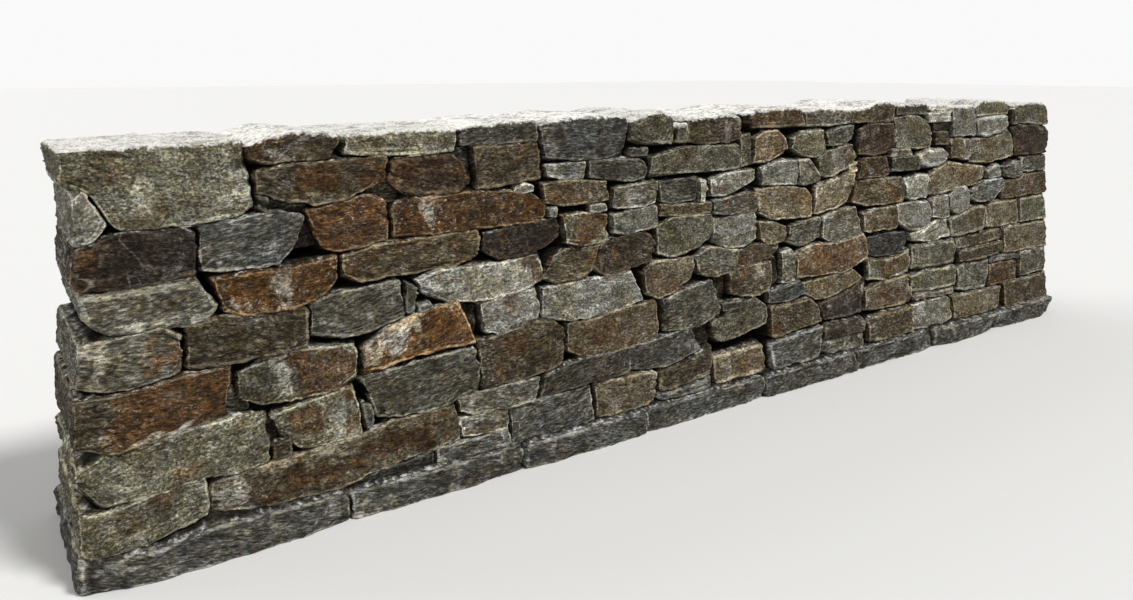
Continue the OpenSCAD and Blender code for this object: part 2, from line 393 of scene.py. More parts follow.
def look_of(p, s, t, size, place, tone, rust, pale, zones):
    length, _, height = size
    ones = np.ones(len(p))
    right = np.clip(s, 0, 1)
    rusty, limy = rust[0] + (rust[1] - rust[0]) * right, pale[0] + (pale[1] - pale[0]) * right
    look = np.stack([ones * tone, rusty, limy], 1)
    for s0, s1, t0, t1, *change in zones:
        borders = [
            (s - s0) * length if s0 > 0 else FAR_INSIDE * ones,
            (s1 - s) * length if s1 < 1 else FAR_INSIDE * ones,
            (t - t0) * height if t0 > 0 else FAR_INSIDE * ones,
            (t1 - t) * height if t1 < 1 else FAR_INSIDE * ones,
        ]
        coarse, fine = lumps(p / SIZE_COARSE + place), lumps(p / SIZE_FINE + place)
        ragged = np.min(borders, axis=0) + SWING_COARSE * coarse + SWING_FINE * fine
        within = smooth(-ZONE_BORDER, ZONE_BORDER, ragged)
        look += (np.array(change) - look) * within[:, None]
    return look


def wear_and_light_of(p, normal, edge, below_top, size, open_sides, through):
    length, depth, height = size
    distance = [p[:, 1]] + ([depth - p[:, 1]] if through else [])
    distance += [p[:, 0] + length / 2] if "L" in open_sides else []
    distance += [length / 2 - p[:, 0]] if "R" in open_sides else []
    distance += [height / 2 - p[:, 2]] if "T" in open_sides else []
    # Painted shade: the deeper into a joint, the darker it is painted.
    deep = smooth(JOINT_FROM, JOINT_TO, np.min(distance, axis=0))
    # Painted sunlight: the more a side faces up, the lighter it is painted.
    upper = np.clip(normal[:, 2], 0, 1) ** 2
    if "T" in open_sides:
        upper = np.maximum(upper, SPILL * smooth(SPILL_DOWN, 0.0, below_top))
    else:
        upper = upper * SUNLIT_ELSEWHERE
    return np.stack([edge, deep, upper], 1)


print("number sets on every point: grain, look, wear")

# %% [markdown]
# This is the stone itself, from its number, its two lines and its looks. The number seeds everything
# that is random in it, so a stone is the same each time, whatever is changed elsewhere.

# %% One stone
FACE_RINGS = [0, 0.3, 0.8, 1.6, 3.0, 6.0]
BACK_RINGS = [0, 0.5, 1.4, 4.5]
# The near end of the wall is seen closer, so its squares are smaller.
STEP_AT, STEPS = [0, 120, 300], [0.42, 0.5, 0.72]
DEEP_STEP, LEAST_DEEP_STEP = 1.25, 1.1


def make_stone(
    seed,
    bottom,
    top,
    finish,
    tone,
    rust,
    pale,
    zones=(),
    side="face",
    open_sides="",
    depth=None,
    back_bottom=None,
    out=0.0,
    grow=0.36,
    step=None,
    rounding=0.5,
    arris=0.4,
    layers=0.7,
    chips=6,
    knocked="",
    rough=1.0,
):
    rng = np.random.default_rng(seed)
    low, high = line(bottom), line(top)
    through = side == "through"
    size = length, depth, height = size_of(low, high, side, depth)
    step = step or float(np.interp(low[:, 0].mean(), STEP_AT, STEPS))
    xs, zs = spaced(length, step) - length / 2, spaced(height, step) - height / 2
    if through:
        ys = spaced(depth, max(step * DEEP_STEP, LEAST_DEEP_STEP))
    else:
        ys = np.array((FACE_RINGS if side == "face" else BACK_RINGS) + [depth])
    p, quads, fan = box_skin(xs, ys, zs, through)
    p, normal, edge = rounded(p, size, rounding, arris, through)
    p, edge = chipped(p, edge, size, chip_planes(rng, size, chips, knocked, through))
    below_top = height / 2 - p[:, 2]
    p, tilt, place = layered(rng, p, normal, layers)
    p = lumpy(p, normal, place, height, rough)
    p = grown(p, normal, depth, grow, open_sides, through)
    points, u, s, t = on_the_wall(p, size, low, high, side, out, back_bottom, "T" in open_sides)
    return {
        "points": points / PER_METRE,
        "quads": quads,
        "fan": fan,
        "grain": grain_of(rng, u, points[:, 2], p[:, 1], low, high, tilt),
        "look": look_of(p, s, t, size, place, tone, rust, pale, zones),
        "wear": wear_and_light_of(p, normal, edge, below_top, size, open_sides, through),
        "finish": finish,
    }


sample = make_stone(1, "0,10 20,10", "0,20 20,20", "grey", 0, (0, 0), (0, 0))
print("a stone of 20 by 10 cm:", len(sample["points"]), "points")

# %% [markdown]
# Colours are written as they look on a screen, from 0 to 255, and turned into the linear values that
# Blender works with. One helper sets a node up and links what is given to it, which keeps the node
# cells below short.

# %% Colours and nodes


def colour(red, green, blue):
    def one(v):
        v /= 255
        return v / 12.92 if v <= 0.04045 else ((v + 0.055) / 1.055) ** 2.4

    return (one(red), one(green), one(blue), 1.0)


def put(tree, kind, settings=None, **inputs):
    node = tree.nodes.new(kind)
    for name, value in (settings or {}).items():
        setattr(node, name, value)
    for name, value in inputs.items():
        # i0, i1 and so on mean a socket by its number, and any other name is the socket's own.
        by_number = name[0] == "i" and name[1:].isdigit()
        socket = node.inputs[int(name[1:]) if by_number else name.replace("_", " ")]
        if isinstance(value, bpy.types.NodeSocket):
            tree.links.new(value, socket)
        else:
            socket.default_value = value
    return node


def maths(tree, operation, a, b=0.0, clamp=False):
    return put(tree, "ShaderNodeMath", {"operation": operation, "use_clamp": clamp}, i0=a, i1=b).outputs[0]


def times(tree, first, *others):
    for other in others:
        first = maths(tree, "MULTIPLY", first, other)
    return first


def times_add(tree, a, factor, b):
    return put(tree, "ShaderNodeMath", {"operation": "MULTIPLY_ADD"}, i0=a, i1=factor, i2=b).outputs[0]


def blend(tree, factor, a, b, how="MIX"):
    node = put(tree, "ShaderNodeMix", {"data_type": "RGBA", "blend_type": how}, i0=factor, i6=a, i7=b)
    return node.outputs[2]


def spread(tree, value, low, high, to_low=0.0, to_high=1.0):
    settings = {"interpolation_type": "SMOOTHSTEP", "clamp": True}
    node = put(tree, "ShaderNodeMapRange", settings, i0=value, i1=low, i2=high, i3=to_low, i4=to_high)
    return node.outputs[0]


def noise(tree, vector, scale, detail, coarse, distortion=0.0):
    values = {"Scale": scale, "Detail": detail, "Roughness": coarse, "Distortion": distortion}
    return put(tree, "ShaderNodeTexNoise", Vector=vector, **values).outputs[0]


print("middle grey is", round(colour(128, 128, 128)[0], 3), "in linear values")

# %% [markdown]
# An effect that every finish uses is a node group. Its inputs are numbers with a usual value, or a
# vector where None is given, and its outputs are masks.

# %% New groups


def new_group(name, inputs, outputs):
    group = bpy.data.node_groups.new(name, "ShaderNodeTree")
    for title, value in inputs.items():
        kind = "NodeSocketVector" if value is None else "NodeSocketFloat"
        socket = group.interface.new_socket(title, in_out="INPUT", socket_type=kind)
        if value is not None:
            socket.default_value = value
    for title in outputs:
        group.interface.new_socket(title, in_out="OUTPUT", socket_type="NodeSocketFloat")
    return group, group.nodes.new("NodeGroupInput"), group.nodes.new("NodeGroupOutput")


print("groups before the first:", len(bpy.data.node_groups))

# %% [markdown]
# The stone splits along thin layers full of mica. Noise that is squeezed in one direction draws those
# layers, finer noises mottle and speckle them, and the thin lines where a noise passes its middle value
# look like the open edges of the layers and like veins. All come from one group, so every finish has
# the same kind of grain, and only its measure and its stretch change.

# %% Bedding and specks group
SPECKS_PER_METRE = 170.0
ROCK_MASKS = ["Layers", "Mottle", "Pits", "Flecks", "Specks", "Shades", "Cloud", "Cracks", "Veins"]
bedding, g_in, g_out = new_group(
    "Bedding and specks", {"Vector": None, "Layers per metre": 60.0, "Stretch": 0.3}, ROCK_MASKS
)
plain = g_in.outputs["Vector"]
measure = g_in.outputs["Layers per metre"]
stretch = g_in.outputs["Stretch"]


def flat_noise(per_metre, stretch, *kind):
    wide = maths(bedding, "MULTIPLY", per_metre, stretch)
    scale = put(bedding, "ShaderNodeCombineXYZ", i0=wide, i1=wide, i2=per_metre).outputs[0]
    squeezed = put(bedding, "ShaderNodeVectorMath", {"operation": "MULTIPLY"}, i0=plain, i1=scale).outputs[0]
    return noise(bedding, squeezed, 1.0, *kind)


def layers_times(closer):
    return maths(bedding, "MULTIPLY", measure, closer)


def middle_of(value):
    return maths(bedding, "ABSOLUTE", maths(bedding, "SUBTRACT", value, 0.5))


# Each noise has a detail, a coarseness and sometimes a distortion, then the values where its mask
# starts and is full.
masks = [
    (flat_noise(measure, stretch, 6.0, 0.68, 0.4), 0.3, 0.68),
    (flat_noise(layers_times(2.2), stretch, 3.0, 0.72), 0.33, 0.67),
    (flat_noise(layers_times(2.1), stretch, 2.0, 0.6), 0.3, 0.46, 1.0, 0.0),
    (flat_noise(layers_times(2.3), 0.7, 3.0, 0.6, 0.6), 0.58, 0.69),
    (flat_noise(SPECKS_PER_METRE, stretch, 2.0, 0.65), 0.4, 0.64),
    (flat_noise(layers_times(0.42), 0.6, 4.0, 0.62, 0.5), 0.32, 0.68),
    (noise(bedding, plain, 9.0, 4.0, 0.6), 0.32, 0.68),
    (middle_of(flat_noise(layers_times(0.5), 0.16, 3.0, 0.5, 0.6)), 0.0, 0.018, 1.0, 0.0),
    (middle_of(noise(bedding, plain, 6.0, 3.0, 0.45, 0.5)), 0.0, 0.016, 1.0, 0.0),
]
for title, (value, *limits) in zip(ROCK_MASKS, masks):
    bedding.links.new(spread(bedding, value, *limits), g_out.inputs[title])
print("group:", bedding.name, "with", len(masks), "masks")

# %% [markdown]
# Iron in the stone rusts where water ran, and pale quartz or lime sits in other places. Both are
# patches with a soft, broken border. The group compares a noise with an amount: at 0 there is no patch,
# and at 1 the patch covers the stone.

# %% Patches group
patches, g_in, g_out = new_group(
    "Stain patches", {"Vector": None, "Size": 14.0, "Amount": 0.3, "Border": 0.12}, ["Mask"]
)
level = spread(patches, noise(patches, g_in.outputs["Vector"], g_in.outputs["Size"], 7.0, 0.63), 0.28, 0.72)
limit = maths(patches, "SUBTRACT", 1.0, g_in.outputs["Amount"])
border = g_in.outputs["Border"]
mask = spread(patches, level, maths(patches, "SUBTRACT", limit, border), maths(patches, "ADD", limit, border))
patches.links.new(mask, g_out.inputs["Mask"])
print("group:", patches.name)

# %% [markdown]
# Three marks come from the numbers on the points: the arris, where knocks leave fresh pale stone and a
# painted highlight lightens it further; the joint, darkened as painted shade; and the upper side, lightened
# as painted sunlight. The group roughens each of them with noise, so none ends in a straight line, and the
# knocks come only along parts of an edge.

# %% Wear and painted light group
WEAR_AND_LIGHT_KINDS = ["Arris", "Joint", "Upper side"]
wear_and_light_group, g_in, g_out = new_group(
    "Wear", {"Vector": None, "Wear": None, "Arris": 0.5, "Joint": 0.9, "Upper side": 0.8}, WEAR_AND_LIGHT_KINDS
)
near_edge, in_joint, on_top = put(wear_and_light_group, "ShaderNodeSeparateXYZ", i0=g_in.outputs["Wear"]).outputs[:3]
ragged = spread(wear_and_light_group, noise(wear_and_light_group, g_in.outputs["Vector"], 45.0, 4.0, 0.65), 0.3, 0.7)
knocked = spread(wear_and_light_group, noise(wear_and_light_group, g_in.outputs["Vector"], 13.0, 2.0, 0.6), 0.36, 0.58, 0.35, 1.3)
edges = times(wear_and_light_group, near_edge, maths(wear_and_light_group, "ADD", ragged, 0.2))
joint_shaded = maths(wear_and_light_group, "ADD", in_joint, times(wear_and_light_group, ragged, 0.25))
sunlit = maths(wear_and_light_group, "SUBTRACT", on_top, times(wear_and_light_group, ragged, 0.3))
masks = [
    spread(wear_and_light_group, times(wear_and_light_group, edges, knocked), 0.1, 0.5),
    spread(wear_and_light_group, joint_shaded, 0.12, 1.0),
    spread(wear_and_light_group, sunlit, 0.04, 0.26),
]
for title, mask in zip(WEAR_AND_LIGHT_KINDS, masks):
    wear_and_light_group.links.new(times(wear_and_light_group, mask, g_in.outputs[title]), g_out.inputs[title])
print("group:", wear_and_light_group.name)

# %% [markdown]
# Each finish is one material. It lays the colours over each other: the layers of the rock, rust,
# quartz and knocked edges, in the order in which they came about on the real stone, with a painted
# highlight on the knocked edges, then painted sunlight on upper sides and painted shade in the joints.
# The Principled shader and the Bump stay here, and the groups give them only colours, masks and heights.

# %% Stone finish
RUST_DARK = colour(74, 47, 21)
RUST_LIGHT = colour(131, 93, 51)
QUARTZ = colour(186, 181, 164)
CRACK = colour(29, 24, 17)
# Painted shade, for the joints
JOINT_SHADE = colour(23, 20, 15)
# Painted sunlight, for upper sides
SUNLIT_TOP = colour(254, 252, 245)
# What a warm and a cool film multiply the colour of the stone with
WARM_FILM = (1.03, 0.96, 0.835, 1.0)
COOL_FILM = (0.96, 1.0, 1.12, 1.0)
# Knocked edges are paler stone, lightened further by a painted highlight
FRESH_STONE_AND_HIGHLIGHT = 1.25
SPECULAR = 0.15
SMOOTHEST, ROUGHEST = 0.74, 0.96


def stone_finish(name, dark, middle, light, layers, stretch, relief, flecks=1.0):
    material = bpy.data.materials.new(name)
    material.use_nodes = True
    tree = material.node_tree
    shader = tree.nodes["Principled BSDF"]
    grain, look, wear = (
        put(tree, "ShaderNodeAttribute", {"attribute_name": key}).outputs["Vector"]
        for key in ("grain", "look", "wear")
    )
    tone, rust, pale = put(tree, "ShaderNodeSeparateXYZ", i0=look).outputs[:3]

    def use(group, **inputs):
        return put(tree, "ShaderNodeGroup", {"node_tree": group}, **inputs).outputs

    def rock(mask, factor, rest):
        return times_add(tree, rock_masks[mask], factor, rest)

    def over(base, strength, paint, *more):
        return blend(tree, times(tree, strength, *more), base, paint)

    rock_masks = use(bedding, Vector=grain, Layers_per_metre=layers, Stretch=stretch)
    rusted = use(patches, Vector=grain, Size=8.0, Amount=rust, Border=0.24)[0]
    burnt = use(patches, Vector=grain, Size=42.0, Amount=0.5, Border=0.42)[0]
    quartz = use(patches, Vector=grain, Size=13.0, Amount=pale, Border=0.2)[0]
    worn_and_lit = use(wear_and_light_group, Vector=grain, Wear=wear, Arris=0.9, Joint=0.95, Upper_side=1.0)

    # The rock itself: dark and middle tones by layer, the light tone in clouds and grains, then rust,
    # quartz and the fresh, pale stone of the knocked edges, lightened further as a painted highlight, with
    # pits and open layers in all of them.
    base = blend(tree, rock_masks["Layers"], colour(*dark), colour(*middle))
    lighter = times(tree, rock("Mottle", 0.5, 0.2), rock("Specks", 0.7, 0.3), rock("Shades", 0.8, 0.4))
    base = over(base, lighter, colour(*light))
    iron = over(RUST_DARK, burnt, RUST_LIGHT, rock("Mottle", 0.6, 0.4))
    base = over(base, rusted, iron, rock("Layers", -0.2, 0.85))
    base = over(base, quartz, QUARTZ, rock("Mottle", 0.55, 0.25))
    base = over(base, rock_masks["Flecks"], QUARTZ, rock("Cloud", 0.8 * flecks, 0.1 * flecks))
    base = over(base, rock_masks["Veins"], QUARTZ, spread(tree, pale, 0.08, 0.4, 0.0, 0.8))
    base = over(base, worn_and_lit["Arris"], colour(*[FRESH_STONE_AND_HIGHLIGHT * v for v in light]))
    film = times_add(tree, burnt, 0.8, rock("Cloud", -0.8, 0.42))
    base = blend(tree, 1.0, base, blend(tree, film, COOL_FILM, WARM_FILM), "MULTIPLY")
    open_layers, pits = times(tree, rock_masks["Cracks"], 0.6), times(tree, rock_masks["Pits"], 0.7)
    base = over(base, maths(tree, "MAXIMUM", open_layers, pits), CRACK)
    grains = times(tree, rock("Specks", 0.44, 0.77), rock("Mottle", 0.72, 0.635))
    cloudy = times(tree, rock("Shades", 0.5, 0.6), rock("Cloud", 0.3, 0.8))
    shade = times(tree, grains, cloudy, maths(tree, "ADD", tone, 1.0))
    base = put(tree, "ShaderNodeVectorMath", {"operation": "SCALE"}, i0=base, Scale=shade).outputs[0]

    # Painted light: painted sunlight on upper sides, and painted shade in the joints.
    clouds = times_add(tree, rock_masks["Shades"], 0.5, rock("Cloud", 0.45, 0.17))
    sunlit_amount = times_add(tree, rock_masks["Specks"], 0.5, clouds)
    sunlit_colour = over(SUNLIT_TOP, rock_masks["Pits"], colour(*light), 0.6)
    base = blend(tree, maths(tree, "MULTIPLY", worn_and_lit["Upper side"], sunlit_amount, True), base, sunlit_colour)
    base = over(base, worn_and_lit["Joint"], JOINT_SHADE)
    tree.links.new(base, shader.inputs["Base Color"])
    roughness = spread(tree, rock_masks["Specks"], 0.0, 1.0, ROUGHEST, SMOOTHEST)
    tree.links.new(roughness, shader.inputs["Roughness"])
    shader.inputs["Specular IOR Level"].default_value = SPECULAR

    relief_of = times_add(tree, rock_masks["Mottle"], 0.8, rock("Pits", -0.6, rock_masks["Layers"]))
    relief_of = times_add(tree, rock_masks["Specks"], 0.12, rock("Cracks", -0.6, relief_of))
    bump = put(tree, "ShaderNodeBump", Height=relief_of, Distance=0.5 * relief, Strength=1.0)
    tree.links.new(bump.outputs[0], shader.inputs["Normal"])
    return material


print("rust runs from", [round(v, 3) for v in RUST_DARK[:3]], "to", [round(v, 3) for v in RUST_LIGHT[:3]])

# %% [markdown]
# Nine finishes cover the wall. The names are a waller's words for the colour: from the bright rust
# faces to the cool slate and the pale, limy blocks. Each has a dark, a middle and a light tone, its own
# closeness and stretch of the layers, a relief in metres, and its share of pale flecks.

# %% Nine finishes
PALE_TONES = (106, 103, 83), (161, 158, 139), (206, 204, 188)
FINISHES = {
    "rust": stone_finish("rust_face", (56, 38, 17), (94, 69, 40), (152, 128, 94), 62.0, 0.5, 0.006, 1.25),
    "russet": stone_finish("russet_face", (47, 33, 19), (80, 60, 40), (126, 108, 84), 66.0, 0.45, 0.006),
    "plum": stone_finish("plum_face", (36, 29, 23), (59, 50, 41), (90, 81, 68), 62.0, 0.5, 0.005, 0.4),
    "brown": stone_finish("brown_face", (45, 37, 23), (81, 70, 50), (126, 117, 95), 70.0, 0.42, 0.006),
    "buff": stone_finish("buff_face", (75, 65, 46), (118, 106, 81), (166, 155, 130), 62.0, 0.6, 0.0055),
    "olive": stone_finish("olive_face", (65, 60, 41), (113, 108, 84), (166, 163, 139), 72.0, 0.7, 0.006),
    "grey": stone_finish("grey_face", (53, 50, 38), (94, 90, 74), (150, 147, 130), 76.0, 0.35, 0.006),
    "slate": stone_finish("slate_face", (48, 47, 40), (88, 87, 78), (142, 141, 131), 80.0, 0.3, 0.006, 0.7),
    "pale": stone_finish("pale_face", *PALE_TONES, 66.0, 0.7, 0.0055, 0.6),
}
FINISH_NAMES = list(FINISHES)
FINISH_LIST = list(FINISHES.values())
print("finishes:", ", ".join(FINISH_NAMES))

# %% [markdown]
# Blender keeps a mesh as points, corners and faces. Writing the three lists at once is much quicker
# than adding faces one by one, and several stones can go into one object: that is used for the small
# pinning stones and for the back of the wall. The numbers for the materials become attributes of the
# points.

# %% Stones into objects
SHARP_FROM = 42
made = {"stones": 0, "triangles": 0}


def put_stones(name, stones, nodes):
    points = np.concatenate([s["points"] for s in stones])
    corners, sizes, finish_of, offset = [], [], [], 0
    for s in stones:
        for faces in (s["quads"], s["fan"]):
            corners.append((faces + offset).ravel())
            sizes.append(np.full(len(faces), faces.shape[1]))
            finish_of.append(np.full(len(faces), FINISH_NAMES.index(s["finish"])))
        offset += len(s["points"])
    corners, sizes, finish_of = map(np.concatenate, (corners, sizes, finish_of))
    used = sorted(set(finish_of.tolist()))
    starts = np.concatenate([[0], np.cumsum(sizes)[:-1]])
    mesh = bpy.data.meshes.new(name)
    mesh.vertices.add(len(points))
    mesh.vertices.foreach_set("co", points.astype(np.float32).ravel())
    mesh.loops.add(len(corners))
    mesh.loops.foreach_set("vertex_index", corners.astype(np.int32))
    mesh.polygons.add(len(sizes))
    mesh.polygons.foreach_set("loop_start", starts.astype(np.int32))
    mesh.polygons.foreach_set("loop_total", sizes.astype(np.int32))
    mesh.polygons.foreach_set("material_index", np.searchsorted(used, finish_of).astype(np.int32))
    mesh.update(calc_edges=True)
    mesh.validate()
    mesh.polygons.foreach_set("use_smooth", np.ones(len(sizes), bool))
    mesh.set_sharp_from_angle(angle=math.radians(SHARP_FROM))
    for key in ("grain", "look", "wear"):
        held = mesh.attributes.new(key, "FLOAT_VECTOR", "POINT")
        held.data.foreach_set("vector", np.concatenate([s[key] for s in stones]).astype(np.float32).ravel())
    for number in used:
        mesh.materials.append(FINISH_LIST[number])
    piece = bpy.data.objects.new(name, mesh)
    bpy.context.scene.collection.objects.link(piece)
    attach(piece, "root")
    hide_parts(*nodes)
    made["stones"] += len(stones)
    made["triangles"] += int((sizes - 2).sum())


print("edges are drawn sharp from", SHARP_FROM, "degrees")

# %% [markdown]
# The stones of the face, course by course from the left. A row gives the finish, how light or dark the
# stone is, how much rust and how much quartz it has at its left and right, its underside and its top.
# Each was measured on the wall, so joints break and wedges lean as the waller left them. Where a stone
# runs through the wall at the left end, it says so. A zone is a part of the stone with a tone, rust and
# quartz of its own: from where to where along the stone, from where to where up it, and the three
# numbers.

